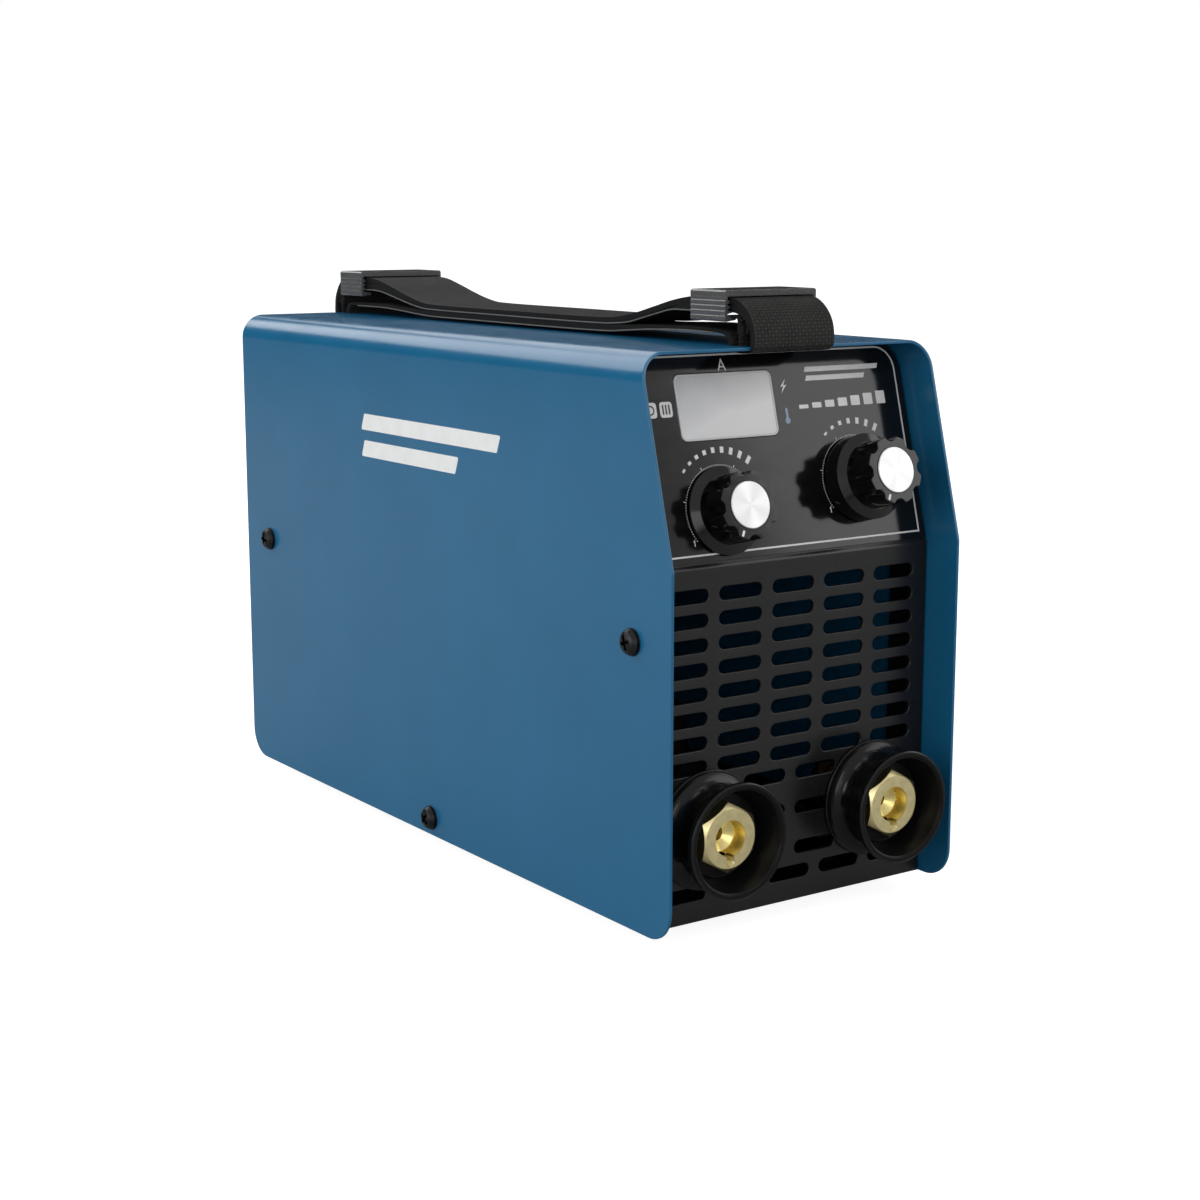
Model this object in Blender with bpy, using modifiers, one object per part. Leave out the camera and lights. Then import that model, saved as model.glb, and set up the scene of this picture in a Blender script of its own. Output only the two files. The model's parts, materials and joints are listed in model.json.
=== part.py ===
"""Single-phase inverter arc welding machine (stick welder) with a folded sheet-metal cover.

Units are metres, +Z up, the control side faces -Y. Every piece hangs from the empty
case_origin, which is the middle of the case's underside, so that a place below is given as
(x, y, z) from there. The world origin is the middle of the whole object's footprint, on the
floor under the rubber feet.
"""

import math

import bmesh
import bpy
from mathutils import Matrix, Vector

MM = 0.001
OBJECT_NAME = "arc_welding_machine"

# Driving dimensions of the case
CASE_W = 130 * MM
CASE_L = 322 * MM
CASE_H = 200 * MM
FOOT_H = 6 * MM
CASE_Y = 1.35 * MM  # the case sits this far back, because the sockets reach past its front edge
SHEET = 1.2 * MM
FOLD_R = 10 * MM
CORNER_R = 12 * MM
GAP = 0.3 * MM
FIT = 0.4 * MM  # clearance between the cover and what slides inside it

# Front: a vertical grille, and a control panel that leans back above it
SLOPE = math.radians(15)
SLOPE_Z = 127 * MM  # height of the bend between the two
EDGE_BEND_Z = 128.7 * MM  # height where the cover's front edge starts to lean back
PANEL_Y = -145.6 * MM
PANEL_T = 1.5 * MM
OVERLAY_T = 0.5 * MM
FLANGE_X = CASE_W / 2 - SHEET - FIT  # half width of everything inside the cover
REAR_Y = 144.1 * MM  # inside face of the rear panel
EAR_X = FLANGE_X - PANEL_T / 2 - 0.2 * MM  # middle of the ears that the side screws hold

# Ventilation slots of the grille
SLOT_W, SLOT_H = 18.7 * MM, 5.2 * MM
SLOT_PITCH_X, SLOT_PITCH_Z = 23.6 * MM, 8.65 * MM
SLOT_TOP_Z = 116.5 * MM
SLOT_ROWS, SLOT_COLUMNS = 8, 5
HALF_PITCH_ROWS = (47.7 * MM, 34.6 * MM, 19.7 * MM)
LOWEST_ROW_Z = 10.6 * MM

# Output sockets
SOCKET_X, SOCKET_Z = 37.7 * MM, 33.3 * MM
SOCKET_RIM_Y = -164.4 * MM
HEX_R = 12.55 * MM
HEX_FACE_Y = -159.2 * MM
BORE_R = 6.35 * MM

# Knobs, in the leaning panel's own plane: (x, distance up the slope, height of the skirt)
KNOBS = {
    "arc_force": (-27.9 * MM, 17.8 * MM, 2.3 * MM),
    "current": (34.3 * MM, 24.5 * MM, 8.2 * MM),
}
SKIRT_R = 15.5 * MM
GRIP_R = 12.1 * MM
GRIP_H = 12.0 * MM
CAP_R = 8.3 * MM
SHAFT_R = 3.0 * MM
BOARD_DEPTH = 15 * MM  # distance from the leaning panel back to the control board

# Display window in the same plane
WINDOW_X, WINDOW_S = -19.9 * MM, 54.3 * MM
WINDOW_W, WINDOW_H = 42.8 * MM, 23.2 * MM

# Carrying strap and its keepers
STRAP_W = 36 * MM
CLIP_L = 19.8 * MM
FRONT_SLOT_Y, REAR_SLOT_Y = -130.7 * MM, 149.5 * MM
STRAP_SLOT_T = 2.8 * MM
STRAP_SEAT = 1.4 * MM  # depth of the notch in the cover's rear edge

# Fasteners
SCREW_R, SCREW_HOLE_R = 1.9 * MM, 2.25 * MM
SIDE_SCREWS = {
    "front": (-138.7 * MM, 102.2 * MM),
    "middle": (-0.9 * MM, 7.2 * MM),
    "rear": (138.3 * MM, 102.2 * MM),
}
FOOT_X, FOOT_Y = 42 * MM, 118 * MM

# Rear panel layout
FAN_SIZE, FAN_T, FAN_BORE_R = 92 * MM, 25 * MM, 44.2 * MM
FAN_Z = 72 * MM
FAN_HOLE = 41.25 * MM
SWITCH_X, INLET_X, ROW_Z = -30 * MM, 24 * MM, 160 * MM
ROCKER_TILT = math.radians(10)
EARTH_X, EARTH_Z = 48 * MM, 133 * MM

# Power electronics
BOARD_Z = 12 * MM
BOARD_T = 1.6 * MM
BOARD_TOP = BOARD_Z + BOARD_T + GAP
BOARD_HALF_X = 54 * MM
BOARD_Y0, BOARD_Y1 = -92 * MM, 112 * MM

# Directions: columns are the local X, Y and Z of a flat outline
SIDE = Matrix(((0, 0, 1), (1, 0, 0), (0, 1, 0)))
FRONT = Matrix(((1, 0, 0), (0, 0, -1), (0, 1, 0)))
REAR = Matrix(((-1, 0, 0), (0, 0, 1), (0, 1, 0)))
LEVEL = Matrix.Identity(3)
LEANING = Matrix(
    (
        (1, 0, 0),
        (0, math.sin(SLOPE), -math.cos(SLOPE)),
        (0, math.cos(SLOPE), math.sin(SLOPE)),
    )
)
MERGE = 1e-6
OFF_AXIS = math.radians(8)


def clear_scene():
    for obj in list(bpy.data.objects):
        bpy.data.objects.remove(obj)


def new_collection(name):
    made = bpy.data.collections.new(name)
    bpy.context.scene.collection.children.link(made)
    return made


def new_material(name, colour, roughness, metallic=0.0):
    made = bpy.data.materials.new(name)
    made.use_nodes = True
    shader = made.node_tree.nodes["Principled BSDF"]
    shader.inputs["Base Color"].default_value = (*colour, 1)
    shader.inputs["Roughness"].default_value = roughness
    shader.inputs["Metallic"].default_value = metallic
    return made


def leaning(x, up, out):
    """A place on the leaning panel: x across, up along the slope, out along its normal."""
    return Vector((0, PANEL_Y, SLOPE_Z)) + LEANING @ Vector((x, up, out))


def add(name, mesh, finish, place=(0, 0, 0), turn=LEVEL):
    """Adds a mesh as a piece of the machine, or as a cutter where finish is None."""
    obj = bpy.data.objects.new(name, mesh)
    obj.parent = case_origin
    obj.matrix_basis = Matrix.Translation(place) @ turn.to_4x4()
    if finish is None:
        obj.hide_render = True
        obj.display_type = "WIRE"
        cutters.objects.link(obj)
    else:
        mesh.materials.append(finishes[finish])
        mesh.shade_smooth()
        mesh.set_sharp_from_angle(angle=math.radians(35))
        pieces.objects.link(obj)
    return obj


def mesh_from(shape, name):
    bmesh.ops.recalc_face_normals(shape, faces=shape.faces)
    mesh = bpy.data.meshes.new(name)
    shape.to_mesh(mesh)
    shape.free()
    return mesh


def box_mesh(name, size, centre=(0, 0, 0)):
    shape = bmesh.new()
    bmesh.ops.create_cube(shape, size=1, matrix=Matrix.Translation(centre) @ Matrix.Diagonal((*size, 1)))
    return mesh_from(shape, name)


def cylinder_mesh(name, radius, low, high, steps=24):
    """A cylinder along local Z from low to high, turned so that no corner lines up with another hole's."""
    shape = bmesh.new()
    middle = Matrix.Translation((0, 0, (low + high) / 2)) @ Matrix.Rotation(OFF_AXIS, 4, "Z")
    bmesh.ops.create_cone(
        shape, cap_ends=True, segments=steps, radius1=radius, radius2=radius, depth=high - low, matrix=middle
    )
    return mesh_from(shape, name)


def plate_mesh(name, loops, thickness):
    """A flat plate about its local XY plane. The first outline is its edge, and the others are holes."""
    curve = bpy.data.curves.new(name, "CURVE")
    curve.dimensions = "2D"
    curve.fill_mode = "BOTH"
    curve.extrude = thickness / 2
    for loop in loops:
        spline = curve.splines.new("POLY")
        spline.points.add(len(loop) - 1)
        for point, (x, y) in zip(spline.points, loop):
            point.co = (x, y, 0, 1)
        spline.use_cyclic_u = True
    guide = bpy.data.objects.new(name, curve)
    cutters.objects.link(guide)
    graph = bpy.context.evaluated_depsgraph_get()
    flat = bpy.data.meshes.new_from_object(guide.evaluated_get(graph))
    bpy.data.objects.remove(guide)
    bpy.data.curves.remove(curve)
    shape = bmesh.new()
    shape.from_mesh(flat)
    bpy.data.meshes.remove(flat)
    bmesh.ops.remove_doubles(shape, verts=shape.verts, dist=MERGE)
    return mesh_from(shape, name)


def turned(name, profile, finish, place=(0, 0, 0), turn=LEVEL, steps=32):
    """A turned piece about local Z, from (radius, height) pairs, top to bottom on the outside."""
    shape = bmesh.new()
    corners = [shape.verts.new((radius, 0, height)) for radius, height in profile]
    for start, end in zip(corners, corners[1:]):
        shape.edges.new((start, end))
    if min(radius for radius, height in profile) > 0:
        shape.edges.new((corners[-1], corners[0]))
    mesh = bpy.data.meshes.new(name)
    shape.to_mesh(mesh)
    shape.free()
    obj = add(name, mesh, finish, place, turn)
    screw = obj.modifiers.new("Turn", "SCREW")
    screw.steps = steps
    screw.render_steps = steps
    screw.use_merge_vertices = True
    screw.merge_threshold = MERGE
    screw.use_smooth_shade = False
    return obj


def boolean(obj, tool, operation):
    modifier = obj.modifiers.new(operation.title(), "BOOLEAN")
    modifier.operation = operation
    modifier.solver = "EXACT"
    modifier.object = tool


def cut(obj, mesh, place=(0, 0, 0), turn=LEVEL):
    boolean(obj, add("cut_" + mesh.name, mesh, None, place, turn), "DIFFERENCE")


def join(obj, mesh, place=(0, 0, 0), turn=LEVEL):
    boolean(obj, add("join_" + mesh.name, mesh, None, place, turn), "UNION")


def trim(obj, mesh, place=(0, 0, 0), turn=LEVEL):
    boolean(obj, add("trim_" + mesh.name, mesh, None, place, turn), "INTERSECT")


def arc(cx, cy, radius, start, end, steps):
    """Points along an arc from start to end, in degrees, both ends included."""
    angles = [math.radians(start + (end - start) * i / steps) for i in range(steps + 1)]
    return [(cx + radius * math.cos(a), cy + radius * math.sin(a)) for a in angles]


def circle(cx, cy, radius, steps=24):
    start = math.degrees(OFF_AXIS)
    return arc(cx, cy, radius, start, start + 360, steps)[:-1]


def hexagon(radius):
    return arc(0, 0, radius, 0, 360, 6)[:-1]


def rounded_box(cx, cy, width, height, radius, steps=5):
    right, top = cx + width / 2 - radius, cy + height / 2 - radius
    left, bottom = cx - width / 2 + radius, cy - height / 2 + radius
    corners = ((right, top, 0), (left, top, 90), (left, bottom, 180), (right, bottom, 270))
    return [p for x, y, a in corners for p in arc(x, y, radius, a, a + 90, steps)]


def rectangle(x0, y0, x1, y1):
    return [(x0, y0), (x1, y0), (x1, y1), (x0, y1)]


def scaled(points):
    """Points given in millimetres, for an outline with many corners."""
    return [(a * MM, b * MM) for a, b in points]


def mirrored(points):
    return [(-a, b) for a, b in reversed(points)]


# Case ---------------------------------------------------------------------------------------


def fold_section(half, top, radius, foot):
    """Half of a folded section, from its foot on the -X side over to the top's middle."""
    return [(-half, foot)] + arc(-half + radius, top - radius, radius, 180, 90, 8)


def case_side_outline():
    half, top = CASE_L / 2, CASE_H + 2 * MM
    lean = math.tan(SLOPE) * (top - EDGE_BEND_Z)
    front = [(-half, EDGE_BEND_Z), (-half + lean, top)]
    rear_foot = arc(half - CORNER_R, CORNER_R, CORNER_R, 0, -90, 8)
    front_foot = arc(-half + CORNER_R, CORNER_R, CORNER_R, -90, -180, 8)
    return front + [(half, top)] + rear_foot + front_foot


def build_cover():
    outside = fold_section(CASE_W / 2, CASE_H, FOLD_R, 0)
    inside = fold_section(CASE_W / 2 - SHEET, CASE_H - SHEET, FOLD_R - SHEET, 0)
    section = outside + mirrored(outside) + [(-a, b) for a, b in inside] + inside[::-1]
    cover = add("case_cover", plate_mesh("case_cover", [section], CASE_L), "cover_blue", turn=FRONT)
    trim(cover, plate_mesh("cover_sides", [case_side_outline()], CASE_W + 10 * MM), turn=SIDE)
    slot = (STRAP_W + 2 * MM, STRAP_SLOT_T, 10 * MM)
    cut(cover, box_mesh("front_strap_slot", slot), (0, FRONT_SLOT_Y, CASE_H))
    cut(cover, box_mesh("rear_strap_slot", slot), (0, REAR_SLOT_Y, CASE_H))
    seat = (STRAP_W + 2 * MM, 2 * STRAP_SEAT, 10 * MM)
    cut(cover, box_mesh("strap_seat", seat), (0, CASE_L / 2, CASE_H))
    cut_side_screw_holes(cover, SIDE_SCREWS)


def cut_side_screw_holes(obj, names):
    for name in names:
        y, z = SIDE_SCREWS[name]
        drill = cylinder_mesh(f"{obj.name}_{name}_holes", SCREW_HOLE_R, -CASE_W, CASE_W, 10)
        cut(obj, drill, (0, y, z), SIDE)


def build_base():
    half, height = FLANGE_X, 16 * MM
    inner = half - SHEET
    section = [(-half, height), (-half, 0), (half, 0), (half, height)]
    section += [(inner, height), (inner, SHEET), (-inner, SHEET), (-inner, height)]
    length = 2 * (REAR_Y - 0.6 * MM)
    base = add("base_chassis", plate_mesh("base_chassis", [section], length), "black_steel", turn=FRONT)
    post_top = BOARD_Z - GAP
    for index, (x, y) in enumerate(board_corners()):
        post = cylinder_mesh(f"board_post_{index}", 3.2 * MM, SHEET / 2, post_top, 8)
        join(base, post, (x, y, 0))
    for index, (x, y) in enumerate(foot_places()):
        cut(base, cylinder_mesh(f"foot_hole_{index}", 2.7 * MM, -2 * MM, 4 * MM, 10), (x, y, 0))
    cut_side_screw_holes(base, ["middle"])


def foot_places():
    return [(x, y) for x in (-FOOT_X, FOOT_X) for y in (-FOOT_Y, FOOT_Y)]


def build_feet():
    """Rubber feet, each with a barbed stem that snaps through the base."""
    names = ("front_left", "rear_left", "front_right", "rear_right")
    profile = scaled([(0, 5), (1.6, 5), (2.3, 3.2), (2.3, -0.3), (8.1, -0.3), (7, -6), (0, -6)])
    for name, (x, y) in zip(names, foot_places()):
        turned("foot_" + name, profile, "black_rubber", (x, y, 0), steps=14)


def build_side_screws():
    """Pan-head screws: the head is a flattened dome, and the shank passes the cover and one flange."""
    head = scaled([(0, 3.5), (3.4, 3.1), (4.65, 1.7), (4.65, 0.3), (1.9, 0.3), (1.9, -7), (0, -7)])
    for side, sign in (("left", -1), ("right", 1)):
        turn = Matrix.Rotation(sign * math.pi / 2, 3, "Y")
        for name, (y, z) in SIDE_SCREWS.items():
            place = (sign * CASE_W / 2, y, z)
            turned(f"side_screw_{side}_{name}", head, "black_screw", place, turn, steps=14)


# Front --------------------------------------------------------------------------------------


def front_outline():
    """Front view of what fills the cover's mouth."""
    half = fold_section(FLANGE_X, CASE_H - SHEET - FIT, FOLD_R - SHEET - FIT, 0.2 * MM)
    return half + mirrored(half)


def slot_centres():
    """Eight full rows, three half-pitch rows between the sockets, and one row along the foot."""
    middle = (SLOT_COLUMNS - 1) / 2
    columns = [(i - middle) * SLOT_PITCH_X for i in range(SLOT_COLUMNS)]
    rows = [SLOT_TOP_Z - i * SLOT_PITCH_Z for i in range(SLOT_ROWS)] + [LOWEST_ROW_Z]
    full = [(x, z) for z in rows for x in columns]
    between = [(x, z) for z in HALF_PITCH_ROWS for x in (-SLOT_PITCH_X / 2, SLOT_PITCH_X / 2)]
    return full + between


def slot_outline(x, z):
    """A slot with round ends."""
    reach, radius = (SLOT_W - SLOT_H) / 2, SLOT_H / 2
    return arc(x + reach, z, radius, -90, 90, 3) + arc(x - reach, z, radius, 90, 270, 3)


def panel_section():
    """Side view of the bent front panel, its outer side first."""
    recess = OVERLAY_T + GAP
    top_up = 73.6 * MM
    outer_foot = leaning(0, 0, -recess)
    outer_top = leaning(0, top_up, -recess)
    inner_top = leaning(0, top_up, -recess - PANEL_T)
    inner_bend = leaning(0, -2.8 * MM, -recess - PANEL_T)
    outer = [(PANEL_Y, 0), (PANEL_Y, SLOPE_Z - MM), (outer_foot.y, outer_foot.z), (outer_top.y, outer_top.z)]
    inner = [(inner_top.y, inner_top.z), (PANEL_Y + PANEL_T, inner_bend.z), (PANEL_Y + PANEL_T, 0)]
    return outer + inner


def build_front_panel():
    bent = plate_mesh("front_panel", [panel_section()], 2 * FLANGE_X)
    panel = add("front_panel", bent, "panel_black", turn=SIDE)
    ear = scaled([(-144.8, 18), (-144.8, 124.5), (-127, 191), (-115, 191), (-128, 120), (-128, 18)])
    for side, x in (("left", -EAR_X), ("right", EAR_X)):
        join(panel, plate_mesh(f"front_ear_{side}", [ear], PANEL_T), (x, 0, 0), SIDE)
    trim(panel, plate_mesh("front_mouth", [front_outline()], 60 * MM), (0, PANEL_Y + 10 * MM, 0), FRONT)
    holes = [slot_outline(x, z) for x, z in slot_centres()]
    holes += [circle(x, SOCKET_Z, 11.7 * MM) for x in (-SOCKET_X, SOCKET_X)]
    cut(panel, plate_mesh("front_slots", holes, 6 * MM), (0, PANEL_Y, 0), FRONT)
    openings = [rounded_box(WINDOW_X, WINDOW_S, WINDOW_W - 5 * MM, WINDOW_H - 5 * MM, 2 * MM, 3)]
    openings += [circle(x, up, 4 * MM, 16) for x, up, skirt in KNOBS.values()]
    cut(panel, plate_mesh("panel_openings", openings, 6 * MM), leaning(0, 0, -OVERLAY_T), LEANING)
    cut_side_screw_holes(panel, ["front"])


def build_overlay():
    """The printed control label. Its opening takes the display window."""
    half, top, radius = FLANGE_X - 0.5 * MM, 73.2 * MM, 10 * MM
    edge = [(half, 1 * MM)] + arc(half - radius, top - radius, radius, 0, 90, 8)
    loops = [edge + mirrored(edge)]
    loops.append(rounded_box(WINDOW_X, WINDOW_S, WINDOW_W + 2 * GAP, WINDOW_H + 2 * GAP, 2.8 * MM))
    loops += [circle(x, up, 4.4 * MM) for x, up, skirt in KNOBS.values()]
    label = plate_mesh("control_overlay", loops, OVERLAY_T)
    add("control_overlay", label, "overlay_black", leaning(0, 0, -OVERLAY_T / 2), LEANING)
    window = [rounded_box(0, 0, WINDOW_W, WINDOW_H, 2.5 * MM)]
    thickness = OVERLAY_T + 0.2 * MM
    place = leaning(WINDOW_X, WINDOW_S, 0.2 * MM - thickness / 2)
    add("display_window", plate_mesh("display_window", window, thickness), "window_grey", place, LEANING)


def build_control_board():
    """The board behind the leaning panel, with the display module and both potentiometers."""
    size = (104 * MM, 62 * MM, BOARD_T)
    face = -BOARD_DEPTH
    loops = [rounded_box(0, 0, size[0], size[1], 2 * MM, 2)]
    board = plate_mesh("control_board", loops, BOARD_T)
    add("control_board", board, "board_green", leaning(0, 37 * MM, face - BOARD_T / 2), LEANING)
    depth = BOARD_DEPTH - OVERLAY_T - PANEL_T - 4 * GAP
    module = box_mesh("display_module", (WINDOW_W - 8 * MM, WINDOW_H - 6 * MM, depth), (0, 0, depth / 2))
    display = add("display_module", module, "module_black", leaning(WINDOW_X, WINDOW_S, face + GAP), LEANING)
    bevel = display.modifiers.new("Edges", "BEVEL")
    bevel.width = 0.6 * MM
    bevel.segments = 2


def build_knob(name, x, up, skirt_h):
    """A potentiometer on the control board, its shaft, and a fluted knob with a metal cap."""
    origin = leaning(x, up, 0)
    back = -BOARD_DEPTH + GAP
    bush_top = 0
    body_top = -OVERLAY_T - PANEL_T - 2 * GAP
    bore_r = SHAFT_R + GAP
    bush_r = 3.7 * MM
    body_r = 8.2 * MM
    body = [(bore_r, bush_top), (bush_r, bush_top), (bush_r, body_top)]
    body += [(body_r, body_top), (body_r, back), (bore_r, back)]
    turned(f"{name}_potentiometer", body, "steel", origin, LEANING, 16)

    skirt_low = 0.5 * MM
    skirt_top = skirt_low + skirt_h
    grip_top = skirt_top + GRIP_H
    grip_low = skirt_low + 0.3 * MM
    seat_low = grip_top - 0.8 * MM
    grip = plate_mesh(f"{name}_knob", [grip_outline()], grip_top - grip_low)
    knob = add(f"{name}_knob", grip, "knob_black", leaning(x, up, (grip_top + grip_low) / 2), LEANING)
    join(knob, cylinder_mesh(f"{name}_skirt", SKIRT_R, skirt_low, skirt_top, 36), origin, LEANING)
    cut(knob, cylinder_mesh(f"{name}_cap_seat", CAP_R + GAP, seat_low, grip_top + MM, 24), origin, LEANING)
    cut(knob, cylinder_mesh(f"{name}_bore", bore_r, -MM, grip_top + MM, 14), origin, LEANING)

    cap_low, cap_top = seat_low + GAP, grip_top + 0.5 * MM
    edge = 0.5 * MM
    cap = [(0, cap_top), (CAP_R - edge, cap_top), (CAP_R, cap_top - edge), (CAP_R, cap_low), (0, cap_low)]
    turned(f"{name}_cap", cap, "spun_aluminium", origin, LEANING, 24)
    shaft = cylinder_mesh(f"{name}_shaft", SHAFT_R, back + MM, seat_low - GAP, 14)
    add(f"{name}_shaft", shaft, "steel", origin, LEANING)


def grip_outline():
    """Eight lobes, divided by round flutes."""
    lobes, flute_r = 8, 2.6 * MM
    flute_at = GRIP_R + 0.9 * MM
    half = math.degrees(math.asin(flute_r / flute_at)) * 0.93
    points = []
    for index in range(lobes):
        middle = 360 * index / lobes
        to_next = 360 / lobes - half
        cx = flute_at * math.cos(math.radians(middle))
        cy = flute_at * math.sin(math.radians(middle))
        points += arc(cx, cy, flute_r, middle + 250, middle + 110, 4)
        points += arc(0, 0, GRIP_R, middle + half + 2, middle + to_next - 2, 2)
    return points


def build_sockets():
    """Two bayonet welding sockets: a flared plastic collar, a brass insert and its lock nut."""
    collar = scaled(
        [
            (20, 164.4),
            (20.7, 163.7),
            (20.7, 162.6),
            (16.2, 155.5),
            (15.6, 150.8),
            (17.2, 147.8),
            (21.6, 146.9),
            (21.6, 145.9),
            (11.3, 145.9),
            (11.3, 141.8),
            (8.6, 141.8),
            (8.6, 153.4),
            (15.4, 153.4),
            (18, 164.4),
        ]
    )
    shank = scaled([(0, 155), (8.3, 155), (8.3, 128), (7.6, 127.4), (6, 127.4), (6, 118), (0, 118)])
    nut_y, nut_t = -139.3 * MM, 4.4 * MM
    for name, sign in (("negative", -1), ("positive", 1)):
        place = (sign * SOCKET_X, 0, SOCKET_Z)
        turned(f"{name}_socket_collar", collar, "socket_black", place, FRONT, 24)
        insert = turned(f"{name}_socket_insert", shank, "brass", place, FRONT, 20)
        head = [hexagon(HEX_R)]
        head_turn = FRONT @ Matrix.Rotation(math.pi / 6, 3, "Z")
        head_y = (HEX_FACE_Y - 153.7 * MM) / 2
        head_mesh = plate_mesh(f"{name}_hex", head, -HEX_FACE_Y - 153.7 * MM)
        join(insert, head_mesh, (place[0], head_y, place[2]), head_turn)
        bore = cylinder_mesh(f"{name}_bore", BORE_R, 134 * MM, 170 * MM, 20)
        cut(insert, bore, place, FRONT)
        key = cylinder_mesh(f"{name}_key", 2.1 * MM, 146 * MM, 170 * MM, 10)
        cut(insert, key, (place[0], 0, SOCKET_Z - 8.2 * MM), FRONT)
        nut = plate_mesh(f"{name}_socket_nut", [hexagon(13 * MM), circle(0, 0, 8.3 * MM + GAP, 20)], nut_t)
        add(f"{name}_socket_nut", nut, "steel", (place[0], nut_y, place[2]), FRONT)


# Handle -------------------------------------------------------------------------------------


def strap_outline():
    """Side view of the webbing: its outer edge, then the openings between its two layers."""
    front_loop = [(-144.1, 204.4), (-144.1, 199.2), (-142.9, 197.7), (-130.5, 197.7)]
    front_loop += [(-129.8, 198.2), (-129.8, 201.6)]
    underside = [(-128.6, 203.3), (-83.3, 203.6), (-70, 202.3), (-57, 201.5)]
    underside += [(52, 201.4), (75, 202), (99.5, 202.9)]
    rear_loop = [(147.2, 203.3), (148.6, 201.6), (148.6, 198)]
    rear_loop += [(149.3, 197.3), (160.9, 197.3), (161.7, 198.2)]
    rear_crown = [(161.7, 204.4), (161, 207.5), (159.4, 210.6)]
    rear_crown += [(157, 213.4), (153.8, 215.5), (150.5, 216.4)]
    top = [(131, 216.4), (121.7, 215.9), (112, 213.9), (98.6, 210.6)]
    top += [(88, 208.3), (79, 207), (70, 206.7), (-50, 206.7)]
    front_rise = [(-60, 207), (-72, 208.8), (-86, 212), (-97, 214.6)]
    front_rise += [(-107, 216.2), (-112, 216.4), (-131, 216.4)]
    front_crown = [(-134.6, 215.9), (-138.2, 214.1), (-141, 211.5), (-143.1, 208.2)]
    edge = front_loop + underside + rear_loop + rear_crown + top + front_rise + front_crown
    front_gap = [(-137.6, 207.4), (-136.6, 206.1), (-84, 206.3), (-66, 204.4), (-80, 207.4)]
    front_gap += [(-92, 210.2), (-103, 211.3), (-132.5, 211.3), (-135.6, 210.9), (-137.2, 209.4)]
    rear_gap = [(155.9, 207.4), (155, 206.1), (112, 206), (98, 205.3), (82, 204.5), (99.3, 208)]
    rear_gap += [(110, 210.3), (121, 211.2), (150.5, 211.2), (153.8, 210.8), (155.5, 209.4)]
    front_bite = [(-142.5, 198.5), (-142.5, 202.2), (-141, 203.4), (-131.6, 203.4), (-131.6, 198.5)]
    rear_bite = [(159.9, 198.5), (150.4, 198.5), (150.4, 203.4), (158.8, 203.4), (159.9, 202.2)]
    return [scaled(loop) for loop in (edge, front_gap, rear_gap, front_bite, rear_bite)]


def clip_outline():
    """Front view of a keeper: a top plate, and two ribbed walls that hook in under the webbing."""
    half, wall, rib, first_z, pitch = 20.5, 1.2, 0.9, 215.6, 1.75
    ribs = [(half - wall, 216.8)]
    for index in range(3):
        z = first_z - pitch * index
        ribs += [(half - wall, z), (half - wall - rib, z - 0.3)]
        ribs += [(half - wall - rib, z - 1.1), (half - wall, z - 1.4)]
    hook = [(half - wall, 210.3), (15.5, 210), (15.5, 208.7), (half - 0.6, 208.2), (half, 208.8)]
    side = ribs + hook + [(half, 218.4), (half - 0.6, 219)]
    return scaled(side + [(-a, b) for a, b in reversed(side)])


def build_handle():
    webbing = plate_mesh("strap_webbing", strap_outline(), STRAP_W)
    add("strap_webbing", webbing, "webbing_black", turn=SIDE)
    for name, y in (("front", -120.9 * MM), ("rear", 141.2 * MM)):
        clip = plate_mesh(f"strap_clip_{name}", [clip_outline()], CLIP_L)
        add(f"strap_clip_{name}", clip, "smoke_plastic", (0, y, 0), FRONT)


# Rear ---------------------------------------------------------------------------------------


def build_rear_panel():
    outline = mirrored(front_outline())
    holes = [circle(0, FAN_Z, 42.5 * MM, 36)]
    holes += [circle(x, z, SCREW_HOLE_R, 8) for x, z in fan_hole_places()]
    holes.append(rounded_box(-SWITCH_X, ROW_Z, 22 * MM, 28 * MM, GAP, 1))
    holes.append(rounded_box(-INLET_X, ROW_Z, 28 * MM, 20.5 * MM, GAP, 1))
    holes.append(circle(-EARTH_X, EARTH_Z, 3.4 * MM, 16))
    sheet = plate_mesh("rear_panel", [outline] + holes, PANEL_T)
    panel = add("rear_panel", sheet, "panel_black", (0, REAR_Y + PANEL_T / 2, 0), REAR)
    ear = rectangle(128 * MM, 18 * MM, REAR_Y + PANEL_T / 2, 185 * MM)
    for side, x in (("left", -EAR_X), ("right", EAR_X)):
        join(panel, plate_mesh(f"rear_ear_{side}", [ear], PANEL_T), (x, 0, 0), SIDE)
    cut_side_screw_holes(panel, ["rear"])


def fan_hole_places():
    return [(x, FAN_Z + z) for x in (-FAN_HOLE, FAN_HOLE) for z in (-FAN_HOLE, FAN_HOLE)]


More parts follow.
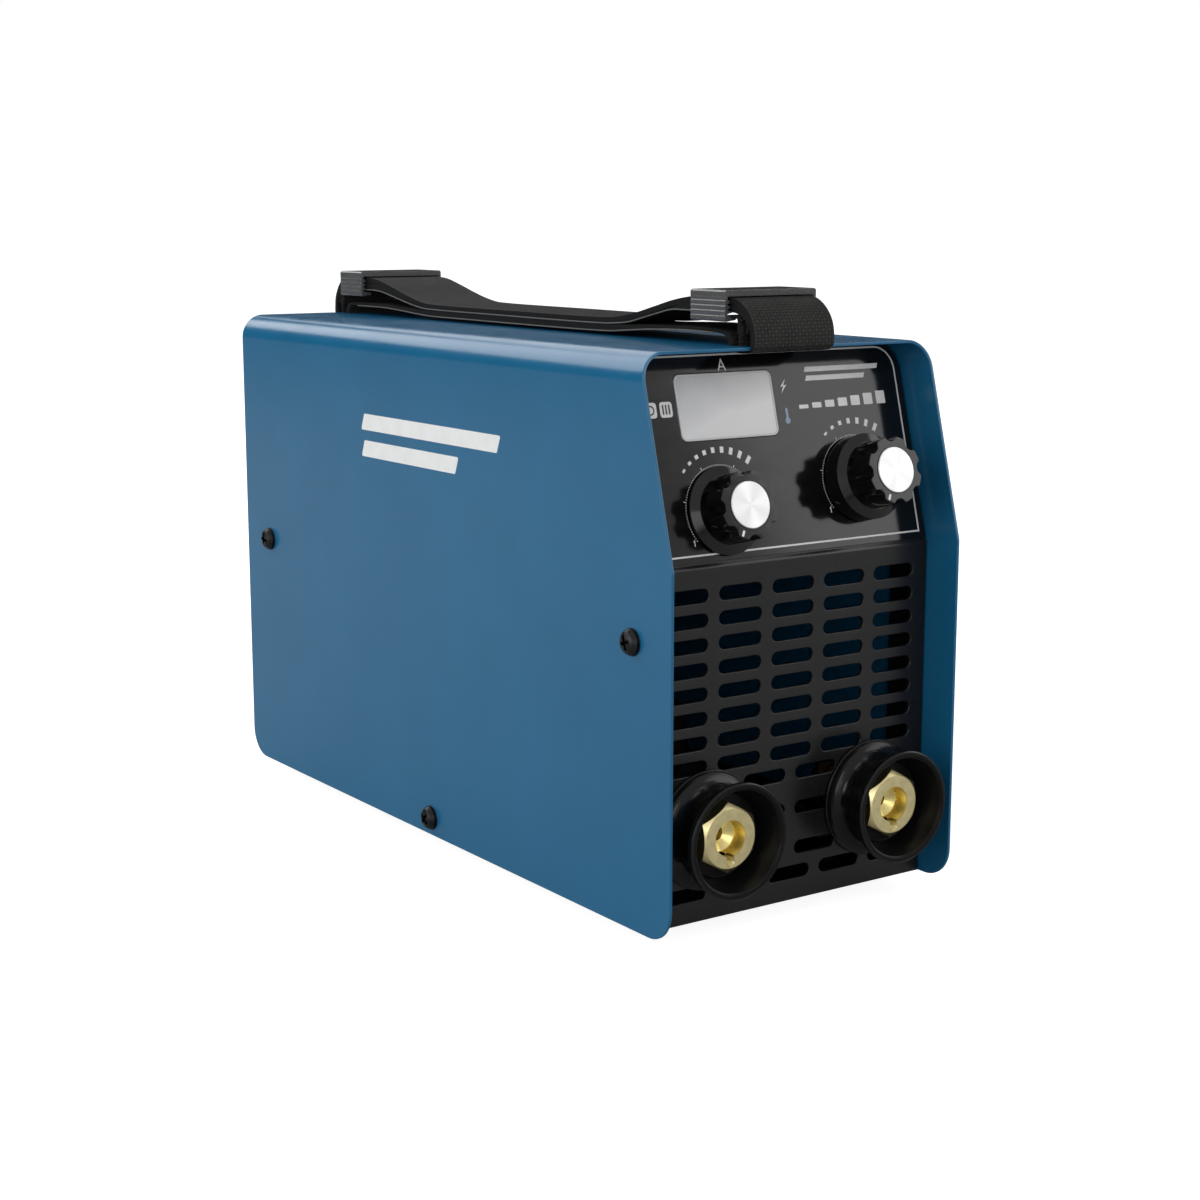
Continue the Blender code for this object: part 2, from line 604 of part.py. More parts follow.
def build_fan():
    """An axial fan: square frame with a round bore, four struts to the bearing, and a seven-blade rotor."""
    middle_y = REAR_Y - GAP - FAN_T / 2
    inner_y = middle_y - FAN_T / 2
    loops = [rounded_box(0, FAN_Z, FAN_SIZE, FAN_SIZE, 4 * MM, 3), circle(0, FAN_Z, FAN_BORE_R, 36)]
    loops += [circle(x, z, SCREW_HOLE_R, 8) for x, z in fan_hole_places()]
    frame = add("fan_frame", plate_mesh("fan_frame", loops, FAN_T), "fan_black", (0, middle_y, 0), REAR)
    hub_r, strut_t = 17 * MM, 3.2 * MM
    join(frame, cylinder_mesh("fan_bearing", hub_r, 0, strut_t, 24), (0, inner_y, FAN_Z), REAR)
    reach = FAN_BORE_R + 0.9 * MM
    for index in range(4):
        turn = Matrix.Rotation(math.radians(45 + 90 * index), 3, "Y")
        length = reach - hub_r + 3 * MM
        size = (length, strut_t - 0.4 * MM, 5 * MM)
        strut = box_mesh(f"fan_strut_{index}", size, (reach - length / 2, 0, 0))
        join(frame, strut, (0, inner_y + strut_t / 2 + 0.2 * MM, FAN_Z), turn)
    cut(frame, cylinder_mesh("fan_bearing_hole", 2.4 * MM, -MM, 10 * MM, 14), (0, inner_y, FAN_Z), REAR)

    hub_low, hub_high = strut_t + 0.5 * MM, FAN_T - 1.5 * MM
    pin_r, pin_low = 2 * MM, 0.4 * MM
    hub = [(0, hub_high), (hub_r - MM, hub_high), (hub_r, hub_high - MM), (hub_r, hub_low)]
    hub += [(pin_r, hub_low), (pin_r, pin_low), (0, pin_low)]
    rotor = turned("fan_rotor", hub, "fan_black", (0, inner_y, FAN_Z), REAR, 20)
    blades, pitch = 7, math.radians(32)
    blade_mid = (hub_low + hub_high) / 2
    for index in range(blades):
        around = Matrix.Rotation(math.tau * index / blades, 3, "Y")
        twist = Matrix.Rotation(pitch, 3, "X")
        blade = box_mesh(f"fan_blade_{index}", (27 * MM, 1.6 * MM, 22 * MM), (28.6 * MM, 0, 0))
        join(rotor, blade, (0, inner_y + blade_mid, FAN_Z), around @ twist)


def build_fan_guard():
    """A pressed steel finger guard: rings of slots between four spokes."""
    loops = [rounded_box(0, FAN_Z, FAN_SIZE, FAN_SIZE, 6 * MM, 4)]
    loops += [circle(x, z, SCREW_HOLE_R, 8) for x, z in fan_hole_places()]
    ring_pitch, wire, first = 8 * MM, 2.2 * MM, 10 * MM
    for ring in range(4):
        inner = first + ring * ring_pitch
        outer = inner + ring_pitch - wire
        margin = math.degrees(wire / inner)
        for quarter in range(4):
            start = 90 * quarter + 45 + margin
            end = 90 * quarter + 135 - margin
            steps = 4 + ring
            loops.append(arc(0, FAN_Z, outer, start, end, steps) + arc(0, FAN_Z, inner, end, start, steps))
    guard = plate_mesh("fan_guard", loops, SHEET)
    add("fan_guard", guard, "black_steel", (0, REAR_Y + PANEL_T + GAP + SHEET / 2, 0), REAR)
    head = scaled([(0, 2.6), (3.2, 2), (3.7, 0.3), (1.9, 0.3), (1.9, -27), (0, -27)])
    names = ("right_low", "right_high", "left_low", "left_high")
    for name, (x, z) in zip(names, fan_hole_places()):
        face = REAR_Y + PANEL_T + GAP + SHEET
        turned(f"fan_screw_{name}", head, "black_screw", (x, face, z), REAR, 10)


def build_switch():
    """The mains rocker switch. The rocker rests in the off position."""
    face = REAR_Y + PANEL_T
    housing = plate_mesh("power_switch_housing", [rounded_box(0, 0, 25 * MM, 31 * MM, 2 * MM)], 2 * MM)
    body = add("power_switch_housing", housing, "switch_black", (SWITCH_X, face + GAP + MM, ROW_Z), REAR)
    case = box_mesh("switch_case", (21.4 * MM, 20 * MM, 27.4 * MM))
    join(body, case, (SWITCH_X, face + MM - 10 * MM, ROW_Z))
    well = box_mesh("switch_well", (19 * MM, 20 * MM, 25 * MM))
    pivot_y = face + 1.2 * MM
    cut(body, well, (SWITCH_X, pivot_y - 9 * MM + 10 * MM, ROW_Z))
    section = scaled([(0, -11.4), (3.4, -11.4), (1.7, 0), (3.4, 11.4), (0, 11.4), (-5.5, 4.5), (-5.5, -4.5)])
    rocker = plate_mesh("power_switch_rocker", [section], 18.2 * MM)
    turn = Matrix.Rotation(-ROCKER_TILT, 3, "X") @ SIDE
    add("power_switch_rocker", rocker, "rocker_red", (SWITCH_X, pivot_y, ROW_Z), turn)


def build_inlet():
    """A flanged mains inlet with three flat pins in a recess."""
    face = REAR_Y + PANEL_T
    flange = plate_mesh("mains_inlet", [rounded_box(0, 0, 48 * MM, 25 * MM, 5 * MM)], 2.5 * MM)
    body = add("mains_inlet", flange, "inlet_black", (INLET_X, face + GAP + 1.25 * MM, ROW_Z), REAR)
    join(body, box_mesh("inlet_case", (27.2 * MM, 24 * MM, 19.7 * MM)), (INLET_X, face + MM - 12 * MM, ROW_Z))
    recess = plate_mesh("inlet_recess", [rounded_box(0, 0, 24 * MM, 16.4 * MM, 3 * MM, 3)], 22 * MM)
    cut(body, recess, (INLET_X, face - 15 * MM + 11 * MM, ROW_Z), REAR)
    pins = {"live": (-7, -1.5), "neutral": (7, -1.5), "earth": (0, 3)}
    for name, (x, z) in pins.items():
        pin = box_mesh(f"inlet_pin_{name}", (2 * MM, 13 * MM, 4 * MM))
        join(body, pin, (INLET_X + x * MM, face - 15.5 * MM + 6.5 * MM, ROW_Z + z * MM))


def build_earth_bolt():
    face = REAR_Y + PANEL_T
    shank = scaled([(0, 2), (6.5, 2), (6.5, 0.3), (3, 0.3), (3, -14), (2.4, -15), (0, -15)])
    bolt = turned("earth_bolt", shank, "steel", (EARTH_X, face, EARTH_Z), REAR, 18)
    head = plate_mesh("earth_bolt_head", [hexagon(5.6 * MM)], 4.4 * MM)
    join(bolt, head, (EARTH_X, face + 3.9 * MM, EARTH_Z), REAR)


# Power electronics --------------------------------------------------------------------------


def board_corners():
    """The four posts that carry the power board."""
    inset = 5 * MM
    across = BOARD_HALF_X - inset
    return [(x, y) for x in (-across, across) for y in (BOARD_Y0 + inset, BOARD_Y1 - inset)]


def build_power_board():
    middle_y = (BOARD_Y0 + BOARD_Y1) / 2
    outline = rounded_box(0, middle_y, 2 * BOARD_HALF_X, BOARD_Y1 - BOARD_Y0, 2 * MM, 2)
    board = plate_mesh("power_board", [outline], BOARD_T)
    add("power_board", board, "board_green", (0, 0, BOARD_Z + BOARD_T / 2))


def heat_sink_outline():
    """End view of an extruded heat sink: a back plate along z, with fins that reach towards -x."""
    fins, pitch, fin_t, reach, back = 9, 9.6 * MM, 1.8 * MM, 22 * MM, 4 * MM
    points = [(0, 0), (0, (fins - 1) * pitch + fin_t)]
    for index in reversed(range(fins)):
        low = index * pitch
        points += [(-back - reach, low + fin_t), (-back - reach, low)]
        if index:
            points += [(-back, low), (-back, low - pitch + fin_t)]
    return points


def build_heat_sinks():
    outline = heat_sink_outline()
    length, middle_y = 82 * MM, 62 * MM
    right = plate_mesh("rectifier_heat_sink", [outline], length)
    add("rectifier_heat_sink", right, "aluminium", (50 * MM, middle_y, BOARD_TOP), FRONT)
    left = plate_mesh("switch_heat_sink", [mirrored(outline)], length)
    add("switch_heat_sink", left, "aluminium", (-50 * MM, middle_y, BOARD_TOP), FRONT)


def build_transformer():
    """The high-frequency transformer: a ferrite core with two windows, and a winding round its middle leg."""
    width, height, depth, leg = 46 * MM, 40 * MM, 20 * MM, 12 * MM
    y, z = 0, BOARD_TOP + height / 2
    window = (width / 2 - leg / 2 - 6 * MM, height - 14 * MM)
    centre = leg / 2 + window[0] / 2
    loops = [rectangle(-width / 2, -height / 2, width / 2, height / 2)]
    loops += [rounded_box(x, 0, window[0], window[1], 0.5 * MM, 1) for x in (-centre, centre)]
    core = plate_mesh("transformer_core", loops, depth)
    add("transformer_core", core, "ferrite", (0, y, z), FRONT)
    inner = rounded_box(0, 0, leg + 2 * GAP, depth + 2 * GAP, 0.3 * MM, 1)
    outer = rounded_box(0, 0, leg + 2 * window[0] - 2 * GAP, depth + 2 * window[0] - MM, 7 * MM, 4)
    coil = plate_mesh("transformer_winding", [outer, inner], window[1] - 2 * GAP)
    add("transformer_winding", coil, "winding_amber", (0, y, z))


def build_choke():
    """The output choke: a wound ring standing on the board."""
    major, minor = 17 * MM, 8.5 * MM
    ring = []
    corners = 10
    for index in range(corners):
        a = math.tau * index / corners
        ring.append((major + minor * math.cos(a), -minor * math.sin(a)))
    place = (0, -48 * MM, BOARD_TOP + major + minor)
    turned("output_choke", ring, "choke_copper", place, FRONT, 20)


def build_capacitors():
    can = scaled([(0, 42), (11.2, 42), (12, 41.2), (12, 5.4), (11.4, 4.6), (12, 3.8), (12, 0), (0, 0)])
    for index, y in enumerate((36, 63, 90)):
        turned(f"bulk_capacitor_{index + 1}", can, "capacitor_sleeve", (0, y * MM, BOARD_TOP), steps=16)


def build_small_power_parts():
    """The input bridge rectifier, the mains filter choke, and the soft-start relay."""
    outline = rounded_box(0, 0, 28 * MM, 28 * MM, 3 * MM, 2)
    bridge = plate_mesh("bridge_rectifier", [outline, circle(0, 0, 2.6 * MM, 14)], 9 * MM)
    add("bridge_rectifier", bridge, "module_black", (38 * MM, -26 * MM, BOARD_TOP + 4.5 * MM))
    relay_h = 16 * MM
    block = box_mesh("soft_start_relay", (15 * MM, 19 * MM, relay_h))
    place = (-34 * MM, -12 * MM, BOARD_TOP + relay_h / 2)
    relay = add("soft_start_relay", block, "module_black", place)
    edges = relay.modifiers.new("Edges", "BEVEL")
    edges.width = 0.8 * MM
    edges.segments = 2
    drum = scaled([(0, 22), (11, 22), (11, 19.5), (8, 19), (8, 3), (11, 2.5), (11, 0), (0, 0)])
    turned("mains_filter_choke", drum, "ferrite", (-40 * MM, -42 * MM, BOARD_TOP), steps=14)


def build_busbars():
    """Flat copper bars from the socket inserts down to the board."""
    back = -125.6 * MM
    foot_end = -72 * MM
    section = [
        (back - 1.6 * MM, SOCKET_Z + 10 * MM),
        (back - 1.6 * MM, BOARD_TOP),
        (foot_end, BOARD_TOP),
        (foot_end, BOARD_TOP + 1.6 * MM),
        (back, BOARD_TOP + 1.6 * MM),
        (back, SOCKET_Z + 10 * MM),
    ]
    for name, sign in (("negative", -1), ("positive", 1)):
        x = sign * SOCKET_X
        strip = plate_mesh(f"{name}_busbar", [section], 18 * MM)
        bar = add(f"{name}_busbar", strip, "copper", (x, 0, 0), SIDE)
        hole = cylinder_mesh(f"{name}_bar_hole", 6 * MM + GAP, 110 * MM, 140 * MM, 24)
        cut(bar, hole, (x, 0, SOCKET_Z), FRONT)


# Assembly -----------------------------------------------------------------------------------

FINISHES = {
    "cover_blue": ((0.035, 0.13, 0.235), 0.38),
    "panel_black": ((0.02, 0.02, 0.021), 0.35),
    "overlay_black": ((0.022, 0.022, 0.023), 0.18),
    "window_grey": ((0.45, 0.45, 0.45), 0.25),
    "black_steel": ((0.02, 0.02, 0.02), 0.4),
    "black_rubber": ((0.015, 0.015, 0.015), 0.8),
    "black_screw": ((0.02, 0.02, 0.02), 0.3, 0.6),
    "knob_black": ((0.012, 0.012, 0.012), 0.25),
    "socket_black": ((0.012, 0.012, 0.012), 0.15),
    "switch_black": ((0.015, 0.015, 0.015), 0.35),
    "inlet_black": ((0.014, 0.014, 0.014), 0.45),
    "fan_black": ((0.018, 0.018, 0.018), 0.5),
    "module_black": ((0.016, 0.016, 0.017), 0.45),
    "rocker_red": ((0.5, 0.02, 0.015), 0.3),
    "spun_aluminium": ((0.85, 0.85, 0.86), 0.25, 1.0),
    "aluminium": ((0.7, 0.71, 0.72), 0.4, 1.0),
    "steel": ((0.55, 0.55, 0.56), 0.35, 1.0),
    "brass": ((0.72, 0.58, 0.26), 0.25, 1.0),
    "copper": ((0.72, 0.36, 0.2), 0.3, 1.0),
    "webbing_black": ((0.03, 0.029, 0.028), 0.85),
    "smoke_plastic": ((0.12, 0.12, 0.12), 0.2),
    "board_green": ((0.03, 0.16, 0.06), 0.45),
    "ferrite": ((0.05, 0.05, 0.052), 0.6),
    "winding_amber": ((0.55, 0.28, 0.06), 0.45),
    "choke_copper": ((0.5, 0.2, 0.08), 0.35, 0.6),
    "capacitor_sleeve": ((0.03, 0.035, 0.06), 0.4),
}


def build_all():
    build_cover()
    build_base()
    build_feet()
    build_side_screws()
    build_front_panel()
    build_overlay()
    build_control_board()
    for name, (x, up, skirt_h) in KNOBS.items():
        build_knob(name, x, up, skirt_h)
    build_sockets()
    build_handle()
    build_rear_panel()
    build_fan()
    build_fan_guard()
    build_switch()
    build_inlet()
    build_earth_bolt()
    build_power_board()
    build_heat_sinks()
    build_transformer()
    build_choke()
    build_capacitors()
    build_small_power_parts()
    build_busbars()


clear_scene()
pieces = new_collection(OBJECT_NAME)
cutters = new_collection("cutters")
finishes = {name: new_material(name, *values) for name, values in FINISHES.items()}
case_origin = bpy.data.objects.new("case_origin", None)
case_origin.location = (0, CASE_Y, FOOT_H)
pieces.objects.link(case_origin)
build_all()
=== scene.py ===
"""Looks of the arc welding machine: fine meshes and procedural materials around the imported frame.

Lengths are metres in the frame's own axes, +Z up, with the control side facing -Y. CASE is the
middle of the case's underside, read from the frame, and places are given from there.
"""

import bisect
import itertools
import json
import math

import bmesh
import bpy
from mathutils import Matrix, Vector

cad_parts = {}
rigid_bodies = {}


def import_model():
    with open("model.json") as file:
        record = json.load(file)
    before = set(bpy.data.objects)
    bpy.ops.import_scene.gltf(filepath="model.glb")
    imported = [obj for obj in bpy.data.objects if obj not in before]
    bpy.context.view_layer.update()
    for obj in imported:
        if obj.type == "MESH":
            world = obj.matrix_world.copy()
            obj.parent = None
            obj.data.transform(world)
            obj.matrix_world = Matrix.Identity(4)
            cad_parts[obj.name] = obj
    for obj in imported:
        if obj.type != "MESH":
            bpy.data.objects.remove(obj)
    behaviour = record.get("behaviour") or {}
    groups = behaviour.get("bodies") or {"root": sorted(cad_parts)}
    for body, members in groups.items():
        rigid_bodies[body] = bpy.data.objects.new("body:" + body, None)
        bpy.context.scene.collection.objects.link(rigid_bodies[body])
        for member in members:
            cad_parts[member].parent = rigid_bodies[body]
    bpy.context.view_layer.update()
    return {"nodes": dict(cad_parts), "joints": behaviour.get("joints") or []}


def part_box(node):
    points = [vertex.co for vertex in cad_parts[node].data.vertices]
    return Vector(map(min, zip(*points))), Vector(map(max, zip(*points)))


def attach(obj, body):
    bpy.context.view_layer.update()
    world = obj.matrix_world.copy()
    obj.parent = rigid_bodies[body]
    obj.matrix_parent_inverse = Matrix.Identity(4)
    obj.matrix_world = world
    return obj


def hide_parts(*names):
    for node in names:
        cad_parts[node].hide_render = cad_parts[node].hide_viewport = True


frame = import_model()

MM = 0.001
MERGE = 2e-7
SIDES = (("left", -1), ("right", 1))
CREASE = 35

# The case, from the frame
COVER_LOW, COVER_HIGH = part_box("case_cover")
CASE = Vector(((COVER_LOW.x + COVER_HIGH.x) / 2, (COVER_LOW.y + COVER_HIGH.y) / 2, COVER_LOW.z))
CASE_W = COVER_HIGH.x - COVER_LOW.x
CASE_L = COVER_HIGH.y - COVER_LOW.y
CASE_H = COVER_HIGH.z - COVER_LOW.z
SHEET = 1.2 * MM
FOLD_R, FOLD_STEPS = 10 * MM, 14
CORNER_R = 12 * MM
SLOPE = math.radians(15)
SLOPE_Z = 127 * MM
EDGE_BEND_Z = 128.7 * MM
PANEL_Y = -145.6 * MM
PANEL_T = 1.5 * MM
OVERLAY_T = 0.5 * MM
RECESS = 0.8 * MM
FLANGE_X = CASE_W / 2 - SHEET - 0.4 * MM
REAR_Y = 144.1 * MM
REAR_FACE = REAR_Y + PANEL_T

# Directions: columns are a flat outline's local X, Y and Z
SIDE = Matrix(((0, 0, 1), (1, 0, 0), (0, 1, 0)))
FRONT = Matrix(((1, 0, 0), (0, 0, -1), (0, 1, 0)))
REAR = Matrix(((-1, 0, 0), (0, 0, 1), (0, 1, 0)))
LEVEL = Matrix.Identity(3)
RISE, LEAN = math.cos(SLOPE), math.sin(SLOPE)
LEANING = Matrix(((1, 0, 0), (0, LEAN, -RISE), (0, RISE, LEAN)))
HOME = (Vector(), LEVEL)


def leaning(x, up, out):
    """A place on the leaning control panel: x across, up along the slope, out along its normal."""
    return Vector((0, PANEL_Y, SLOPE_Z)) + LEANING @ Vector((x, up, out))


# Outlines ------------------------------------------------------------------------------------


def arc(cx, cy, radius, start, end, steps):
    """Points along an arc from start to end, in degrees, both ends included."""
    angles = [math.radians(start + (end - start) * i / steps) for i in range(steps + 1)]
    return [(cx + radius * math.cos(a), cy + radius * math.sin(a)) for a in angles]


def circle(cx, cy, radius, steps=48):
    return arc(cx, cy, radius, 0, 360, steps)[:-1]


def hexagon(radius):
    return arc(0, 0, radius, 30, 390, 6)[:-1]


def rounded_box(cx, cy, width, height, radius, steps=6):
    right, top = cx + width / 2 - radius, cy + height / 2 - radius
    left, bottom = cx - width / 2 + radius, cy - height / 2 + radius
    corners = ((right, top, 0), (left, top, 90), (left, bottom, 180), (right, bottom, 270))
    return [p for x, y, a in corners for p in arc(x, y, radius, a, a + 90, steps)]


def arched(half, foot, top, radius, steps):
    """A panel's outline: a straight foot, and round upper corners."""
    edge = [(half, foot)] + arc(half - radius, top - radius, radius, 0, 90, steps)
    return edge + mirrored(edge)


def scaled(points):
    """Points given in millimetres."""
    return [(a * MM, b * MM) for a, b in points]


def mirrored(points):
    return [(-a, b) for a, b in reversed(points)]


def fillet(points, radius, steps=4, closed=True):
    """Rounds the corners of an outline, or of an open path."""
    made = []
    for index, corner in enumerate(points):
        here = Vector(corner)
        back = Vector(points[index - 1]) - here
        ahead = Vector(points[(index + 1) % len(points)]) - here
        at_end = not closed and index in (0, len(points) - 1)
        flat = at_end or min(back.length, ahead.length) < MERGE
        half = 0 if flat else back.angle(ahead) / 2
        if flat or half > math.radians(88):
            made.append(tuple(here))
            continue
        reach = min(radius / math.tan(half), 0.48 * back.length, 0.48 * ahead.length)
        size = reach * math.tan(half)
        middle = (back.normalized() + ahead.normalized()).normalized()
        centre = here + middle * (size / math.sin(half))
        first = here + back.normalized() * reach - centre
        last = here + ahead.normalized() * reach - centre
        start = math.degrees(math.atan2(first.y, first.x))
        sweep = math.degrees(math.atan2(last.y, last.x)) - start
        sweep = (sweep + 180) % 360 - 180
        made += arc(centre.x, centre.y, size, start, start + sweep, steps)
    return made


def offset_points(points, distance, closed):
    """The path moved sideways, to its left where distance is positive."""
    made = []
    count = len(points)
    for index in range(count):
        here = Vector(points[index])
        before = Vector(points[index - 1]) if closed or index else None
        after = Vector(points[(index + 1) % count]) if closed or index < count - 1 else None
        into = (here - before).normalized() if before is not None else None
        out = (after - here).normalized() if after is not None else None
        into, out = into or out, out or into
        normal = Vector((-into.y - out.y, into.x + out.x)).normalized()
        made.append(here + normal * (distance / max(0.3, normal.dot(Vector((-out.y, out.x))))))
    return [tuple(point) for point in made]


def stroke(points, width, closed=False):
    """The outlines of a printed line."""
    left = offset_points(points, width / 2, closed)
    right = offset_points(points, -width / 2, closed)
    return [left, right] if closed else [left + right[::-1]]


def lengths_along(path):
    """The path's length up to each of its points."""
    made = [0.0]
    for one, two in zip(path, path[1:]):
        made.append(made[-1] + (Vector(two) - Vector(one)).length)
    return made


def smooth_path(points, spacing, closed):
    """Evenly spaced points along a curve through the given ones, and its length."""
    count = len(points)
    dense = []
    for index in range(count if closed else count - 1):
        near = [index + k if closed else min(max(index + k, 0), count - 1) for k in (-1, 0, 1, 2)]
        four = [Vector(points[k % count]) for k in near]
        dense += [spline_point(four, step / 24) for step in range(24)]
    dense.append(dense[0] if closed else Vector(points[-1]))
    lengths = lengths_along(dense)
    steps = max(2, round(lengths[-1] / spacing))
    made = []
    for step in range(steps if closed else steps + 1):
        wanted = lengths[-1] * step / steps
        index = min(bisect.bisect_right(lengths, wanted), len(dense) - 1)
        share = (wanted - lengths[index - 1]) / max(MERGE, lengths[index] - lengths[index - 1])
        made.append(dense[index - 1].lerp(dense[index], share))
    return made, lengths[-1]


def spline_point(four, share):
    """A point of the centripetal curve between the second and third of four points."""
    before, start, end, after = four
    knots = [0.0]
    for one, two in zip(four, four[1:]):
        knots.append(knots[-1] + max(1e-6, (two - one).length) ** 0.5)
    t = knots[1] + (knots[2] - knots[1]) * share

    def between(one, two, low, high):
        return one.lerp(two, (t - low) / (high - low))

    first = between(before, start, knots[0], knots[1])
    second = between(start, end, knots[1], knots[2])
    third = between(end, after, knots[2], knots[3])
    left = between(first, second, knots[0], knots[2])
    right = between(second, third, knots[1], knots[3])
    return between(left, right, knots[1], knots[2])


# Meshes --------------------------------------------------------------------------------------


def shown(name, data):
    obj = bpy.data.objects.new(name, data)
    bpy.context.scene.collection.objects.link(obj)
    return obj


def settled(obj, *helpers):
    """The object's mesh with its modifiers applied. The object and its helpers are removed."""
    graph = bpy.context.evaluated_depsgraph_get()
    made = bpy.data.meshes.new_from_object(obj.evaluated_get(graph))
    for old in (obj, *helpers):
        bpy.data.batch_remove([old, old.data])
    return made


def as_mesh(shape):
    mesh = bpy.data.meshes.new("part")
    shape.to_mesh(mesh)
    shape.free()
    return mesh


def mesh_from(shape):
    bmesh.ops.remove_doubles(shape, verts=shape.verts, dist=MERGE)
    bmesh.ops.recalc_face_normals(shape, faces=shape.faces)
    return as_mesh(shape)


def plate_mesh(loops, low, high, bevel=0.0, steps=2):
    """A plate between two heights, with rounded edges. The first outline is its edge."""
    curve = bpy.data.curves.new("plate", "CURVE")
    curve.dimensions = "2D"
    curve.fill_mode = "BOTH"
    curve.extrude = (high - low) / 2 - bevel
    curve.bevel_depth = bevel
    curve.bevel_resolution = steps
    curve.offset = -bevel
    for loop in loops:
        spline = curve.splines.new("POLY")
        spline.points.add(len(loop) - 1)
        for point, (x, y) in zip(spline.points, loop):
            point.co = (x, y, 0, 1)
        spline.use_cyclic_u = True
    flat = settled(shown("plate", curve))
    shape = bmesh.new()
    shape.from_mesh(flat)
    bpy.data.meshes.remove(flat)
    bmesh.ops.translate(shape, verts=shape.verts, vec=(0, 0, (low + high) / 2))
    return mesh_from(shape)


def lathe_mesh(profile, steps=96):
    """A turned shape about local Z, from (radius, height) pairs."""
    shape = bmesh.new()
    rings = []
    for radius, height in profile:
        turns = [math.tau * i / steps for i in range(steps)] if radius > MERGE else [0]
        spots = [(radius * math.cos(a), radius * math.sin(a), height) for a in turns]
        rings.append([shape.verts.new(spot) for spot in spots])
    pairs = list(zip(rings, rings[1:]))
    if min(len(rings[0]), len(rings[-1])) > 1:
        pairs.append((rings[-1], rings[0]))
    for one, two in pairs:
        for i in range(steps):
            j = (i + 1) % steps
            corners = [one[i % len(one)], one[j % len(one)], two[j % len(two)], two[i % len(two)]]
            corners = list(dict.fromkeys(corners))
            if len(corners) > 2:
                shape.faces.new(corners)
    return mesh_from(shape)


def turned(profile, radius=0.3 * MM, steps=96):
    """A lathe shape whose profile is in millimetres and gets its corners rounded."""
    closed = min(profile[0][0], profile[-1][0]) > 0
    return lathe_mesh(fillet(scaled(profile), radius, 3, closed), steps)


def folded_mesh(mesh, path, place):
    """Bends a flat plate: its local Y runs along the path, and its local Z points out of it."""
    spots = [Vector(point) for point in path]
    lengths = lengths_along(path)
    outs = [Vector(point) for point in offset_points(path, 1.0, False)]
    normals = [out - spot for out, spot in zip(outs, spots)]
    shape = bmesh.new()
    shape.from_mesh(mesh)
    bpy.data.meshes.remove(mesh)
    for length in lengths[1:-1]:
        everything = shape.verts[:] + shape.edges[:] + shape.faces[:]
        cut = {"plane_co": (0, length, 0), "plane_no": (0, 1, 0)}
        bmesh.ops.bisect_plane(shape, geom=everything, dist=MERGE, **cut)
    for vert in shape.verts:
        straight, along, out = vert.co
        index = min(max(bisect.bisect_right(lengths, along), 1), len(lengths) - 1)
        share = (along - lengths[index - 1]) / (lengths[index] - lengths[index - 1])
        spot = spots[index - 1].lerp(spots[index], share)
        normal = normals[index - 1].lerp(normals[index], share)
        vert.co = place(straight, spot + normal * out)
    return mesh_from(shape)


def joined(parts):
    """One mesh from (mesh, place, turn) triples."""
    shape = bmesh.new()
    for mesh, place, turn in parts:
        mesh.transform(Matrix.Translation(place) @ turn.to_4x4())
        shape.from_mesh(mesh)
        bpy.data.meshes.remove(mesh)
    return as_mesh(shape)


def carved(mesh, tools, operation="DIFFERENCE"):
    """The mesh after a Boolean with each of (mesh, place, turn), which are used up."""
    base = shown("base", mesh)
    helpers = []
    for tool, place, turn in tools:
        helper = shown("tool", tool)
        helper.matrix_world = Matrix.Translation(place) @ turn.to_4x4()
        modifier = base.modifiers.new("Carve", "BOOLEAN")
        modifier.operation = operation
        modifier.solver = "EXACT"
        modifier.object = helper
        helpers.append(helper)
    return settled(base, *helpers)


def box_mesh(size, bevel=0.0):
    shape = bmesh.new()
    bmesh.ops.create_cube(shape, size=1, matrix=Matrix.Diagonal((*size, 1)))
    if bevel:
        edges = shape.edges[:]
        bmesh.ops.bevel(shape, geom=edges, offset=bevel, segments=2, profile=0.5, affect="EDGES")
    return mesh_from(shape)


# Materials -----------------------------------------------------------------------------------


class Nodes:
    """A node tree, with short calls for the nodes that it needs."""

    def __init__(self, tree):
        self.tree = tree

    def fill(self, socket, value):
        """Links an output to an input, or sets a plain value. None leaves the input as it is."""
        if hasattr(value, "is_linked"):
            self.tree.links.new(value, socket)
        elif value is not None:
            socket.default_value = value

    def put(self, kind, *values, **settings):
        """A new node, with its settings made and its inputs filled in order."""
        made = self.tree.nodes.new("ShaderNode" + kind)
        for key, value in settings.items():
            setattr(made, key, value)
        for socket, value in zip(made.inputs, values):
            self.fill(socket, value)
        return made

    def math(self, operation, *values):
        return self.put("Math", *values, operation=operation).outputs[0]

    def ramp(self, value, *stops):
        made = self.put("ValToRGB", value)
        elements = made.color_ramp.elements
        while len(elements) < len(stops):
            elements.new(0.5)
        for element, (position, shade) in zip(elements, stops):
            element.position = position
            element.color = (*shade, 1) if isinstance(shade, tuple) else (shade, shade, shade, 1)
        return made.outputs[0]

    def mix(self, share, one, two):
        """A blend of two colours, each an output or a plain colour."""
        made = self.put("Mix", share, data_type="RGBA")
        for name, value in (("A", one), ("B", two)):
            socket = next(s for s in made.inputs if s.name == name and s.type == "RGBA")
            self.fill(socket, (*value, 1) if isinstance(value, tuple) else value)
        return next(s for s in made.outputs if s.type == "RGBA")


